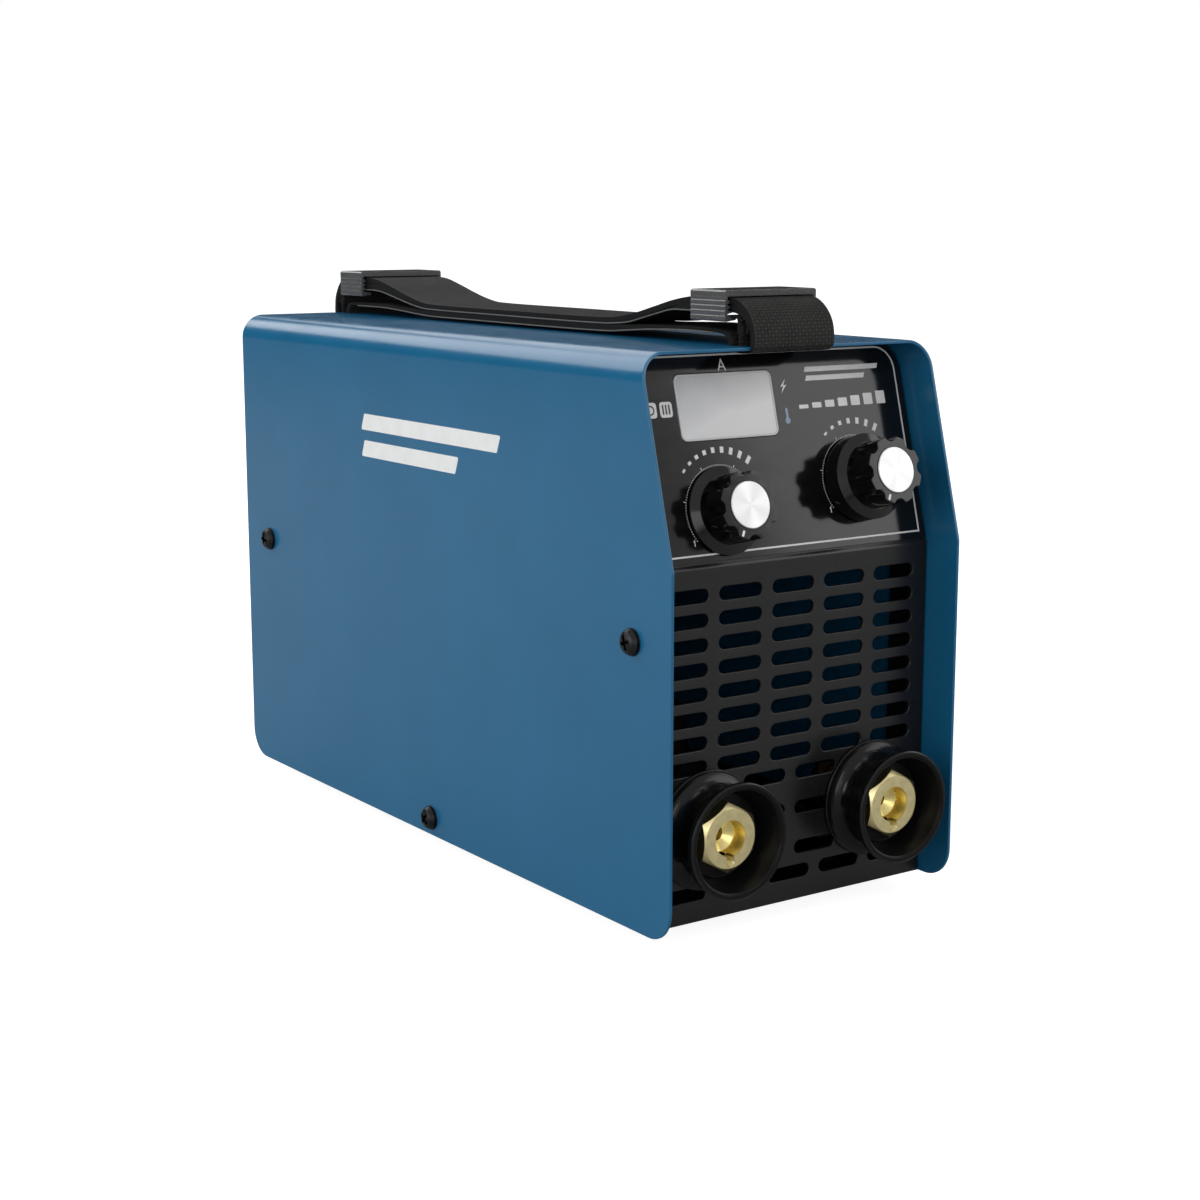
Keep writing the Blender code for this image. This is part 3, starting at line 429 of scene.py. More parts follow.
class Finish(Nodes):
    """A material on one Principled shader, with the looks that several materials share."""

    def __init__(self, name, colour, **values):
        self.material = bpy.data.materials.new(name)
        self.material.use_nodes = True
        super().__init__(self.material.node_tree)
        self.shader = self.tree.nodes["Principled BSDF"]
        self.colour = colour
        self.height = None
        self.set("Base Color", (*colour, 1))
        for key, value in values.items():
            self.set(key.replace("_", " ").title().replace("Ior", "IOR"), value)
        self.coordinates = self.put("TexCoord").outputs["Object"]

    def set(self, name, value):
        self.fill(self.shader.inputs[name], value)

    def axes(self, source=None):
        """The X, Y and Z of a place, by default the one in the object's own axes."""
        return self.put("SeparateXYZ", source or self.coordinates).outputs

    def wave(self, value, scale):
        return self.math("SINE", self.math("MULTIPLY", value, scale))

    def radius(self, axes):
        """The distance from local Z."""
        squares = [self.math("MULTIPLY", axes[k], axes[k]) for k in (0, 1)]
        return self.math("SQRT", self.math("ADD", *squares))

    def spread(self, value, low, high):
        """Stretches a 0 to 1 value to the range from low to high."""
        return self.math("MULTIPLY_ADD", value, high - low, low)

    def noise(self, size, detail=3.0, stretch=(1, 1, 1)):
        scale = tuple(s / size for s in stretch)
        place = self.put("VectorMath", self.coordinates, scale, operation="MULTIPLY").outputs[0]
        made = self.put("TexNoise")
        for name, value in (("Vector", place), ("Scale", 1), ("Detail", detail)):
            self.fill(made.inputs[name], value)
        return made.outputs[0]

    def bump(self, height, depth, strength=1.0):
        """Adds relief that is depth metres high, on top of any relief before it."""
        made = self.put("Bump")
        relief = {"Strength": strength, "Distance": depth, "Height": height, "Normal": self.height}
        for name, value in relief.items():
            self.fill(made.inputs[name], value)
        self.height = made.outputs[0]
        self.set("Normal", self.height)
        return self

    def mottle(self, size, amount, detail=4.0):
        """Lightens and darkens the colour in soft patches."""
        value = self.ramp(self.noise(size, detail), (0.35, 0.0), (0.68, 1.0))
        dark = tuple(c * (1 - amount) for c in self.colour)
        light = tuple(min(1, c * (1 + amount)) for c in self.colour)
        self.set("Base Color", self.mix(value, dark, light))
        return self

    def uneven_gloss(self, size, low, high, detail=4.0):
        value = self.ramp(self.noise(size, detail), (0.3, 0.0), (0.75, 1.0))
        self.set("Roughness", self.spread(value, low, high))
        return self


def painted(name, colour, gloss, peel, peel_depth):
    """Powder coat: soft patches and orange peel."""
    made = Finish(name, colour).mottle(40 * MM, 0.035).uneven_gloss(14 * MM, *gloss)
    return made.bump(made.noise(peel, 1.0), peel_depth).material


def moulded(name, colour, gloss, grain=0.35 * MM, depth=0.006 * MM, coat=0.0, amount=0.12):
    """Injection-moulded plastic with a fine grain."""
    made = Finish(name, colour, coat_weight=coat, coat_roughness=0.06)
    made.mottle(6 * MM, amount).uneven_gloss(4 * MM, *gloss)
    return made.bump(made.noise(grain, 2.0), depth).material


def socket_plastic(name):
    """Glossy black outside, and matt inside the mouth, where normals face the axis."""
    outer, inner = (0.004, 0.004, 0.004), (0.0045, 0.0045, 0.005)
    made = Finish(name, outer)
    normal = made.put("TexCoord").outputs["Normal"]
    level = made.put("VectorMath", made.coordinates, (1, 1, 0), operation="MULTIPLY").outputs[0]
    facing = made.put("VectorMath", level, normal, operation="DOT_PRODUCT").outputs["Value"]
    inside = made.math("LESS_THAN", facing, 0.0)
    made.set("Roughness", made.spread(inside, 0.18, 0.28))
    made.set("Specular IOR Level", made.spread(inside, 0.34, 0.16))
    made.set("Base Color", made.mix(inside, outer, inner))
    return made.bump(made.noise(2.4 * MM, 2.0), 0.001 * MM).material


def machined(name, colour, gloss, depth=0.004 * MM):
    """Turned metal, with rings about local Z."""
    ring = 0.22 * MM
    made = Finish(name, colour, metallic=1.0).mottle(3 * MM, 0.08).uneven_gloss(1.6 * MM, *gloss)
    made.bump(made.wave(made.radius(made.axes()), math.tau / ring), depth, 0.6)
    return made.bump(made.noise(0.5 * MM, 3.0), depth).material


def sheet_metal(name, colour, gloss, stretch):
    """Rolled metal with a faint grain."""
    made = Finish(name, colour, metallic=1.0).mottle(7 * MM, 0.1).uneven_gloss(3 * MM, *gloss)
    return made.bump(made.noise(0.4 * MM, 3.0, stretch), 0.004 * MM).material


def spun_metal(name, colour):
    """A spun cap, with fine rings, and four bright sectors painted into its colour as the highlights of
    circular brushing.
    """
    made = Finish(name, colour, metallic=1.0, anisotropic=0.8)
    made.set("Tangent", made.put("Tangent", direction_type="RADIAL", axis="Z").outputs[0])
    axes = made.axes()
    ring = made.put("TexNoise", noise_dimensions="1D")
    made.fill(ring.inputs["W"], made.math("DIVIDE", made.radius(axes), 0.12 * MM))
    made.fill(ring.inputs["Scale"], 1)
    rings = ring.outputs[0]
    made.set("Roughness", made.spread(rings, 0.24, 0.42))
    made.bump(rings, 0.004 * MM, 0.7)
    # Painted highlight: four bright sectors in the base colour, set by the angle about the axis.
    angle = made.math("ARCTAN2", axes[1], axes[0])
    sector_highlight = made.math("SINE", made.math("MULTIPLY_ADD", angle, 4.0, 0.6))
    ring_tone_and_highlight = made.math("MULTIPLY_ADD", sector_highlight, 0.42, made.spread(rings, 0.3, 0.7))
    ring_tone_and_highlight = made.math("MINIMUM", made.math("MAXIMUM", ring_tone_and_highlight, 0.0), 1.0)
    made.set("Base Color", made.mix(ring_tone_and_highlight, tuple(c * 0.84 for c in colour), colour))
    return made.material


def film(name):
    """The control label: a smooth dark film with faint smears."""
    made = Finish(name, (0.0028, 0.0028, 0.003)).mottle(18 * MM, 0.2)
    smear = made.ramp(made.noise(14 * MM, 5.0, (1, 3, 1)), (0.4, 0.0), (0.8, 1.0))
    made.set("Roughness", made.spread(smear, 0.1, 0.14))
    return made.bump(made.noise(9 * MM, 1.0), 0.001 * MM).material


def window_pane(name):
    """A silver-grey display behind a matt pane, lighter towards its middle and foot."""
    made = Finish(name, (0.5, 0.5, 0.51), coat_weight=0.5, coat_roughness=0.12)
    axes = made.axes()
    slant = made.math("MULTIPLY_ADD", axes[1], -26.0, 0.5)
    slant = made.math("MULTIPLY_ADD", axes[0], 6.0, slant)
    cloud = made.math("MULTIPLY_ADD", made.noise(16 * MM, 1.0), 0.3, slant)
    shades = ((0.2, (0.40, 0.40, 0.405)), (0.75, (0.74, 0.74, 0.75)), (1.0, 0.70))
    made.set("Base Color", made.ramp(cloud, *shades))
    made.uneven_gloss(5 * MM, 0.3, 0.42)
    return made.bump(made.wave(axes[1], math.tau / (0.25 * MM)), 0.0015 * MM, 0.4).material


def webbing(name):
    """Woven nylon: a plain weave over the strap's own UV map, in metres, with worn fibres.

    The selvedges, at the UV map's sides, are painted near-black: painted shade for the webbing's shaded
    edges.
    """
    made = Finish(name, (0.030, 0.029, 0.028), specular_ior_level=0.25)
    axes = made.axes(made.put("UVMap", uv_map="weave").outputs[0])
    along = made.math("DIVIDE", axes[0], WEAVE_PITCH)
    across = made.math("DIVIDE", axes[1], WARP_PITCH)
    cells = made.math("ADD", made.math("FLOOR", along), made.math("FLOOR", across))
    odd = made.math("MODULO", made.math("ABSOLUTE", cells), 2.0)
    rib, cord = (made.wave(made.math("FRACT", way), math.pi) for way in (along, across))
    over = made.math("MULTIPLY", odd, made.math("MULTIPLY", cord, made.math("POWER", rib, 0.5)))
    even = made.math("SUBTRACT", 1.0, odd)
    under = made.math("MULTIPLY", even, made.math("MULTIPLY", rib, made.math("POWER", cord, 0.5)))
    weave = made.math("ADD", over, made.math("MULTIPLY", under, 0.62))
    fibre = made.noise(0.12 * MM, 2.0)
    worn = made.ramp(made.noise(9 * MM, 4.0), (0.4, 0.0), (0.75, 1.0))
    shade = made.mix(weave, (0.006, 0.006, 0.006), (0.036, 0.034, 0.032))
    cloth = made.mix(made.math("MULTIPLY", worn, 0.3), shade, (0.042, 0.040, 0.037))
    # Painted shade: the outer 0.2 mm of each side of the strap is coloured near-black.
    middle = made.math("ABSOLUTE", made.math("SUBTRACT", axes[1], STRAP_W / 2))
    edge_shade = made.math("GREATER_THAN", middle, STRAP_W / 2 - 0.2 * MM)
    made.set("Base Color", made.mix(edge_shade, cloth, (0.002, 0.002, 0.002)))
    made.set("Roughness", made.spread(fibre, 0.62, 0.9))
    return made.bump(weave, 0.16 * MM, 0.9).bump(fibre, 0.03 * MM, 0.6).material


def smoky(name):
    """Translucent smoke-grey plastic."""
    made = Finish(name, (0.21, 0.212, 0.215), transmission_weight=0.6, ior=1.46)
    made.mottle(5 * MM, 0.04).uneven_gloss(6 * MM, 0.1, 0.14)
    absorb = made.put("VolumeAbsorption", (0.5, 0.5, 0.5, 1), 120)
    output = next(n for n in made.tree.nodes if n.type == "OUTPUT_MATERIAL")
    made.fill(output.inputs["Volume"], absorb.outputs[0])
    return made.bump(made.noise(6 * MM, 1.0), 0.002 * MM).material


def wound(name, colour, pitch, axis, metallic):
    """Wire or tape wound in close turns along an axis, with painted shade in the grooves between turns."""
    made = Finish(name, colour, metallic=metallic)
    ridge = made.math("ABSOLUTE", made.wave(made.axes()[axis], math.pi / pitch))
    # Painted shade: the colour darkens to about a third in the grooves between turns.
    made.set("Base Color", made.mix(ridge, tuple(c * 0.35 for c in colour), colour))
    made.set("Roughness", made.spread(made.noise(2 * MM), 0.3, 0.5))
    return made.bump(ridge, 0.3 * MM, 0.8).material


def circuit_board(name):
    """Solder mask over copper tracks, as a fine pattern of lines and pads."""
    made = Finish(name, (0.012, 0.07, 0.03), coat_weight=0.4, coat_roughness=0.2)
    cells = made.put("TexVoronoi", made.coordinates, feature="F1", distance="MANHATTAN")
    made.fill(cells.inputs["Scale"], 260)
    tracks = made.ramp(cells.outputs["Distance"], (0.42, 0.0), (0.46, 1.0))
    made.set("Base Color", made.mix(tracks, (0.02, 0.11, 0.045), (0.008, 0.05, 0.02)))
    made.set("Roughness", made.spread(made.noise(3 * MM), 0.3, 0.5))
    return made.bump(tracks, 0.03 * MM, 0.6).material


STRAP_W = 36 * MM
WEAVE_PITCH = 1.16 * MM
WARP_PITCH = 1.5 * MM
BLUE = (0.010, 0.126, 0.262)
finishes = {
    "blue": painted("blue_powder_coat", BLUE, (0.2, 0.26), 2.2 * MM, 0.0006 * MM),
    "panel": painted("black_powder_coat", (0.008, 0.008, 0.0085), (0.26, 0.34), 1.1 * MM, 0.0015 * MM),
    "chassis": painted("chassis_black", (0.008, 0.008, 0.008), (0.34, 0.44), 1.1 * MM, 0.002 * MM),
    "film": film("label_film"),
    "mark": moulded("side_mark_white", (0.86, 0.87, 0.87), (0.3, 0.42), depth=0.001 * MM, amount=0.03),
    "print": moulded("label_print", (0.76, 0.76, 0.75), (0.35, 0.5), depth=0.001 * MM, amount=0.06),
    "print_blue": moulded("label_print_blue", (0.26, 0.36, 0.48), (0.35, 0.5), depth=0.001 * MM),
    "print_dark": moulded("label_print_dark", (0.03, 0.03, 0.03), (0.3, 0.45)),
    "rim": moulded("window_rim", (0.6, 0.6, 0.6), (0.25, 0.4), amount=0.05),
    "pane": window_pane("window_pane"),
    "knob": moulded("knob_black", (0.003, 0.003, 0.003), (0.09, 0.15), 2 * MM, 0.0012 * MM),
    "pointer": moulded("pointer_white", (0.85, 0.85, 0.84), (0.3, 0.4), amount=0.03),
    "cap": spun_metal("spun_cap", (0.86, 0.86, 0.865)),
    "socket": socket_plastic("socket_black"),
    "brass": machined("brass", (0.92, 0.80, 0.43), (0.3, 0.38), 0.0008 * MM),
    # A brighter, yellower copy of the brass for the sleeve: painted light, so the deep bore shows bright.
    "bore": machined("brass_bore_painted_bright", (1.0, 0.80, 0.32), (0.2, 0.3), 0.0008 * MM),
    "webbing": webbing("webbing_black"),
    # Light grey for the strap's cords: painted highlights on the webbing's edges.
    "thread": moulded("painted_highlight_grey", (0.10, 0.097, 0.093), (0.5, 0.7), 0.2 * MM, 0.01 * MM),
    "smoke": smoky("smoke_plastic"),
    "screw": machined("black_oxide", (0.035, 0.035, 0.036), (0.3, 0.45)),
    "rubber": moulded("foot_rubber", (0.012, 0.012, 0.012), (0.7, 0.9), 0.2 * MM, 0.02 * MM),
    "fan": moulded("fan_plastic", (0.014, 0.014, 0.014), (0.35, 0.5), 0.3 * MM, 0.008 * MM),
    "switch": moulded("switch_plastic", (0.012, 0.012, 0.012), (0.3, 0.42), 0.3 * MM, 0.006 * MM),
    "rocker": moulded("rocker_red", (0.42, 0.012, 0.008), (0.2, 0.32), 0.4 * MM, 0.003 * MM, 0.3),
    "steel": machined("zinc_steel", (0.55, 0.55, 0.56), (0.28, 0.42)),
    "copper": sheet_metal("copper_bar", (0.055, 0.032, 0.022), (0.35, 0.5), (1, 0.1, 1)),
    "sink": sheet_metal("anodised_black", (0.045, 0.045, 0.048), (0.35, 0.5), (1, 0.06, 1)),
    "ferrite": moulded("ferrite", (0.03, 0.03, 0.032), (0.5, 0.65), 0.4 * MM, 0.02 * MM, amount=0.3),
    "tape": wound("winding_tape", (0.30, 0.15, 0.02), 1.6 * MM, 2, 0.0),
    "coil": wound("choke_copper", (0.04, 0.018, 0.009), 1.2 * MM, 1, 0.5),
    "board": circuit_board("circuit_board"),
    "sleeve": moulded("capacitor_sleeve", (0.01, 0.012, 0.022), (0.25, 0.4), 0.8 * MM, 0.01 * MM),
    "module": moulded("module_black", (0.012, 0.012, 0.013), (0.4, 0.55), 0.3 * MM, 0.01 * MM),
}


def piece(name, mesh, finish, node=None, body="case", place=(0, 0, 0), turn=LEVEL):
    """Adds a finished piece at a place in the case, riding on a body, in place of a CAD node."""
    obj = shown(name, mesh)
    obj.matrix_world = Matrix.Translation(CASE + Vector(place)) @ turn.to_4x4()
    mesh.materials.clear()
    mesh.materials.append(finishes[finish])
    mesh.shade_smooth()
    mesh.set_sharp_from_angle(angle=math.radians(CREASE))
    weigh = obj.modifiers.new("Weigh", "WEIGHTED_NORMAL")
    weigh.keep_sharp = True
    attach(obj, body)
    if node:
        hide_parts(node)


# Case ----------------------------------------------------------------------------------------

SIDE_SCREWS = {
    "front": (-138.7 * MM, 102.2 * MM),
    "middle": (-0.9 * MM, 7.2 * MM),
    "rear": (138.3 * MM, 102.2 * MM),
}
SCREW_HOLE_R = 2.25 * MM


def cover_path():
    """The folded section of the cover, from its left foot over to its right foot, as (x, z)."""
    half = CASE_W / 2
    left = [(-half, 0)] + arc(-half + FOLD_R, CASE_H - FOLD_R, FOLD_R, 180, 90, FOLD_STEPS)
    return left + mirrored(left)


def build_cover():
    path = cover_path()
    lengths = list(itertools.accumulate(map(math.dist, path, path[1:]), initial=0.0))
    total, half = lengths[-1], CASE_L / 2

    def front_y(z):
        return -half + max(0.0, z - EDGE_BEND_Z) * math.tan(SLOPE)

    low, high = 60 * MM, 180 * MM
    bend = fillet([(-half, low), (-half, EDGE_BEND_Z), (front_y(high), high)], 5 * MM, 5, False)
    left = arc(-half + CORNER_R, CORNER_R, CORNER_R, 270, 180, 12) + bend
    fold = slice(1, FOLD_STEPS + 2)
    left += [(front_y(z), length) for (x, z), length in zip(path[fold], lengths[fold])]
    rear_left = arc(half - CORNER_R, CORNER_R, CORNER_R, 0, -90, 12)
    rear_right, right = ([(y, total - t) for y, t in reversed(side)] for side in (rear_left, left))
    seat, deep = STRAP_W / 2 + MM, 1.4 * MM
    notch = [(half, seat), (half - deep, seat), (half - deep, -seat), (half, -seat)]
    notch = fillet([(y, total / 2 + t) for y, t in notch], 0.6 * MM, 3, False)
    loops = [left + right + rear_right + notch + rear_left]
    for y in (-130.7 * MM, 149.5 * MM):
        loops.append(rounded_box(y, total / 2, 2.8 * MM, STRAP_W + 2 * MM, 0.9 * MM, 4))
    for y, z in SIDE_SCREWS.values():
        loops += [circle(y, z, SCREW_HOLE_R, 24), circle(y, total - z, SCREW_HOLE_R, 24)]
    flat = plate_mesh(loops, -SHEET, 0, 0.28 * MM, 2)
    shell = folded_mesh(flat, path, lambda y, spot: (spot.x, y, spot.y))
    piece("cover_shell", shell, "blue", "case_cover")


def build_side_mark():
    """A plain double stripe on each side of the cover."""
    low, high, front, rear = 147.6 * MM, 165.0 * MM, 51 * MM, -53 * MM
    slant, bar = 7 * MM, 6.6 * MM
    for side, sign in SIDES:
        parts = []
        for base, start, end in ((high - bar, front, rear), (low, front, rear + 30 * MM)):
            share = slant * bar / (high - low)
            corners = [(start, base), (end, base), (end - share, base + bar), (start - share, base + bar)]
            if sign > 0:
                corners = [(front + rear - y, z) for y, z in corners]
            loop = fillet(corners, 0.7 * MM, 4)
            low_x, high_x = sorted((sign * CASE_W / 2, sign * (CASE_W / 2 + 0.06 * MM)))
            parts.append((plate_mesh([loop], low_x, high_x, 0.02 * MM, 1), (0, 0, 0), SIDE))
        piece(f"side_mark_{side}", joined(parts), "mark")


def screw_mesh(head_r, head_h, shank_r, shank_l, recess):
    """A pan-head screw along local Z, with a cross recess."""
    seat = 0.05 * MM
    profile = [(0, head_h), (head_r * 0.45, head_h * 0.97), (head_r * 0.8, head_h * 0.74)]
    profile += [(head_r, head_h * 0.3), (head_r, seat), (shank_r, seat), (shank_r, -shank_l), (0, -shank_l)]
    tools = []
    for turn in (0, 90):
        arm = box_mesh((recess, recess * 0.24, 2 * recess * 0.42))
        tools.append((arm, (0, 0, head_h + 0.05 * MM), Matrix.Rotation(math.radians(turn), 3, "Z")))
    return carved(lathe_mesh(fillet(profile, 0.35 * MM, 3, False), 40), tools)


def build_side_screws():
    for side, sign in SIDES:
        for index, (name, (y, z)) in enumerate(SIDE_SCREWS.items()):
            mesh = screw_mesh(4.65 * MM, 3.2 * MM, 1.9 * MM, 6.8 * MM, 5.2 * MM)
            turn = Matrix.Rotation(sign * math.pi / 2, 3, "Y")
            turn = turn @ Matrix.Rotation(math.radians(17 + 31 * index), 3, "Z")
            place = (sign * (CASE_W / 2 + 0.25 * MM), y, z)
            node = f"side_screw_{side}_{name}"
            piece(f"screw_{side}_{name}", mesh, "screw", node, place=place, turn=turn)
            washer = turned([(4.9, 0.4), (4.9, 0), (2.4, 0), (2.4, 0.4)], 0.12 * MM, 40)
            seat = (sign * CASE_W / 2, y, z)
            piece(f"washer_{side}_{name}", washer, "screw", place=seat, turn=turn)


def build_feet():
    profile = [(0, 4.8), (1.5, 4.8), (2.3, 3.1), (2.0, 1.4), (2.0, 0.1), (7.2, 0.1), (8.0, -0.6)]
    profile += [(7.9, -1.6), (7.5, -2.0), (7.7, -2.5), (7.1, -5.6), (6.7, -6), (4.4, -6), (4.1, -5.4)]
    profile += [(2.6, -5.4), (2.6, -3.2), (0, -3.2)]
    for name in ("front_left", "rear_left", "front_right", "rear_right"):
        low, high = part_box(f"foot_{name}")
        centre = (low + high) / 2 - CASE
        mesh = turned(profile, 0.3 * MM, 56)
        place = (centre.x, centre.y, 0)
        piece(f"rubber_foot_{name}", mesh, "rubber", f"foot_{name}", place=place)


# Front grille --------------------------------------------------------------------------------

SLOT_W, SLOT_H = 18.9 * MM, 4.9 * MM
SLOT_PITCH_X, SLOT_PITCH_Z = 23.6 * MM, 8.65 * MM
SLOT_TOP_Z = 116.5 * MM
PANEL_CORNER_R = 8.4 * MM
SOCKET_X, SOCKET_Z = 37.7 * MM, 33.3 * MM
WINDOW_X, WINDOW_S = -19.9 * MM, 54.3 * MM
WINDOW_W, WINDOW_H = 42.8 * MM, 23.2 * MM
KNOBS = {
    "arc_force": (-27.9 * MM, 17.8 * MM, 2.3 * MM),
    "current": (34.3 * MM, 24.5 * MM, 8.2 * MM),
}


def slot_centres():
    """Eight full rows, three half-pitch rows between the sockets, and one row along the foot."""
    columns = [(i - 2) * SLOT_PITCH_X for i in range(5)]
    rows = [SLOT_TOP_Z - i * SLOT_PITCH_Z for i in range(8)] + [10.6 * MM]
    between = [(x, z * MM) for z in (47.7, 34.6, 19.7) for x in (-SLOT_PITCH_X / 2, SLOT_PITCH_X / 2)]
    return [(x, z) for z in rows for x in columns] + between


def ears(outline, screw):
    """The two side flanges of an end panel, each with its screw hole."""
    hole = circle(*SIDE_SCREWS[screw], SCREW_HOLE_R, 24)
    parts = []
    for sign in (-1, 1):
        flange = plate_mesh([outline, hole], -PANEL_T / 2, PANEL_T / 2, 0.2 * MM, 1)
        parts.append((flange, (sign * (FLANGE_X - PANEL_T / 2 - 0.2 * MM), 0, 0), SIDE))
    return parts


def build_front_panel():
    foot, top_s = 0.2 * MM, 73.4 * MM
    lip, top = leaning(0, 0.5 * MM, -RECESS), leaning(0, top_s, -RECESS)
    corners = [(PANEL_Y, foot), (PANEL_Y, 126.1 * MM), (lip.y, lip.z), (top.y, top.z)]
    path = fillet(corners, 1.6 * MM, 4, False)
    total = sum(map(math.dist, path, path[1:]))

    def along(up):
        return total - (top_s - up)

    loops = [arched(FLANGE_X, 0, total, PANEL_CORNER_R, 8)]
    reach, radius = (SLOT_W - SLOT_H) / 2, SLOT_H / 2
    for x, z in slot_centres():
        t = z - foot
        loops.append(arc(x + reach, t, radius, -90, 90, 10) + arc(x - reach, t, radius, 90, 270, 10))
    loops += [circle(sign * SOCKET_X, SOCKET_Z - foot, 11.7 * MM) for sign in (-1, 1)]
    loops.append(rounded_box(WINDOW_X, along(WINDOW_S), WINDOW_W - 5 * MM, WINDOW_H - 5 * MM, 2 * MM))
    loops += [circle(x, along(up), 4 * MM) for x, up, skirt in KNOBS.values()]
    flat = plate_mesh(loops, -PANEL_T, 0, 0.3 * MM, 2)
    bent = folded_mesh(flat, path, lambda x, spot: (x, spot.x, spot.y))
    ear = [(-144.5, 18), (-144.5, 122), (-127, 187), (-115, 187), (-128, 120), (-128, 18)]
    mesh = joined([(bent, *HOME)] + ears(fillet(scaled(ear), 2 * MM, 3), "front"))
    piece("grille_panel", mesh, "panel", "front_panel")


# Control label -------------------------------------------------------------------------------


def build_label():
    loops = [arched(FLANGE_X - 0.5 * MM, 0.9 * MM, 73.2 * MM, 10 * MM, 12)]
    loops.append(rounded_box(WINDOW_X, WINDOW_S, WINDOW_W + 0.5 * MM, WINDOW_H + 0.5 * MM, 2.7 * MM, 8))
    loops += [circle(x, up, 4.4 * MM) for x, up, skirt in KNOBS.values()]
    label = plate_mesh(loops, -OVERLAY_T, 0, 0.1 * MM, 2)
    place = leaning(0, 0, 0)
    piece("control_label", label, "film", "control_overlay", place=place, turn=LEANING)

    slot, place = "display_window", leaning(WINDOW_X, WINDOW_S, 0)
    outer = rounded_box(0, 0, WINDOW_W, WINDOW_H, 2.5 * MM, 8)
    inner = rounded_box(0, 0, WINDOW_W - 1.5 * MM, WINDOW_H - 1.5 * MM, 1.8 * MM, 8)
    rim = plate_mesh([outer, inner], -OVERLAY_T, 0.3 * MM, 0.16 * MM, 3)
    piece("window_rim", rim, "rim", place=place, turn=LEANING)
    pane = plate_mesh([inner], -OVERLAY_T, 0.12 * MM, 0.05 * MM, 2)
    piece("window_pane", pane, "pane", "display_window", place=place, turn=LEANING)


def print_piece(name, loops, finish="print", lift=0.0):
    """Ink on the label: outlines in its own plane."""
    mesh = plate_mesh(loops, 0, 0.05 * MM)
    place = leaning(0, 0, lift)
    piece(name, mesh, finish, place=place, turn=LEANING)


def ray_bar(cx, cy, inner, outer, angle, width):
    """A short bar that points away from a centre."""
    out = Vector((math.cos(math.radians(angle)), math.sin(math.radians(angle))))
    side = Vector((-out.y, out.x)) * (width / 2)
    centre = Vector((cx, cy))
    corners = [centre + out * inner - side, centre + out * outer - side]
    corners += [centre + out * outer + side, centre + out * inner + side]
    return [tuple(corner) for corner in corners]


def build_prints():
    border = [(-59.9, 3.5), (59.9, 3.5)] + arc(59.9 - 8.5, 72.3 - 8.5, 8.5, 0, 90, 12)
    border += arc(-59.9 + 8.5, 72.3 - 8.5, 8.5, 90, 180, 12)
    print_piece("print_border", stroke(scaled(border), 0.62 * MM, True))

    unit = [(-21.2, 66.6), (-19.6, 70.5), (-18.0, 66.6)]
    print_piece("print_unit", stroke(scaled(unit), 0.45 * MM))
    print_piece("print_unit_bar", stroke(scaled([(-20.35, 67.95), (-18.85, 67.95)]), 0.4 * MM))

    icons = [rounded_box(x, 54.2, 5.2, 5.4, 1.1, 4) for x in (-52.6, -46)]
    print_piece("print_icons", [scaled(loop) for loop in icons])
    marks = [scaled(rounded_box(-46 + dx, 54.2, 0.65, 3.4, 0.2, 2)) for dx in (-1.3, 0, 1.3)]
    marks += stroke(scaled(circle(-52.6, 54.2, 1.45, 24)), 0.55 * MM, True)
    print_piece("print_icon_marks", marks, "print_dark", 0.03 * MM)

    bolt = [(7.7, 62.4), (5.1, 59.6), (6.5, 59.9), (5.3, 57.4), (8.0, 60.3), (6.6, 60.1)]
    print_piece("print_bolt", [scaled(bolt)])
    stem = arc(6.4, 47.5, 1.15, 115, 425, 16) + arc(6.4, 51.6, 0.45, 0, 180, 6)
    print_piece("print_thermometer", [scaled(stem)], "print_blue")

    stripes = []
    for low, high, left, right in ((64.5, 66.3, 17, 51.5), (61.3, 63.1, 17, 44.5)):
        lean = 0.7
        stripes.append(scaled([(left, low), (right, low), (right + lean, high), (left + lean, high)]))
    print_piece("print_stripes", stripes)
    blocks = []
    for index in range(7):
        left = 12.4 + index * 6.1
        height = 1.4 + 0.55 * index
        corners = [(left, 51.4), (left + 4.3, 51.4), (left + 4.3, 51.4 + height), (left, 51.4 + height)]
        blocks.append(fillet(scaled(corners), 0.35 * MM, 3))
    print_piece("print_blocks", blocks)

    spans = {"arc_force": (134, 51, 9), "current": (124, 57, 7)}
    for name, (x, up, skirt) in KNOBS.items():
        start, end, count = spans[name]
        bars = []
        for index in range(count):
            angle = start + (end - start) * index / (count - 1)
            reach = 20.4 * MM + (0.9 + 2.1 * index / (count - 1)) * MM
            bars.append(ray_bar(x, up, 20.4 * MM, reach, angle, 1.5 * MM))
        print_piece(f"print_growth_{name}", bars)
        fine = [ray_bar(x, up, 15.9 * MM, 16.35 * MM, 215 - 10 / 3 * i, 0.3 * MM) for i in range(76)]
        coarse = [ray_bar(x, up, 16.5 * MM, 17.2 * MM, 215 - 50 * i, 0.3 * MM) for i in range(1, 6)]
        print_piece(f"print_scale_{name}", fine + coarse)
        one = Vector((x, up)) + 17.6 * MM * Vector((math.cos(math.radians(215)), math.sin(math.radians(215))))
        digit = [(one.x - 0.45 * MM, one.y + 0.55 * MM), (one.x, one.y + 1.0 * MM), (one.x, one.y - 1.0 * MM)]
        print_piece(f"print_one_{name}", stroke(digit, 0.34 * MM))


# Knobs ---------------------------------------------------------------------------------------

GRIP_R = 12.1 * MM
CAP_R = 8.3 * MM
POINTER_AT = 244
GRIP_STEPS = 192


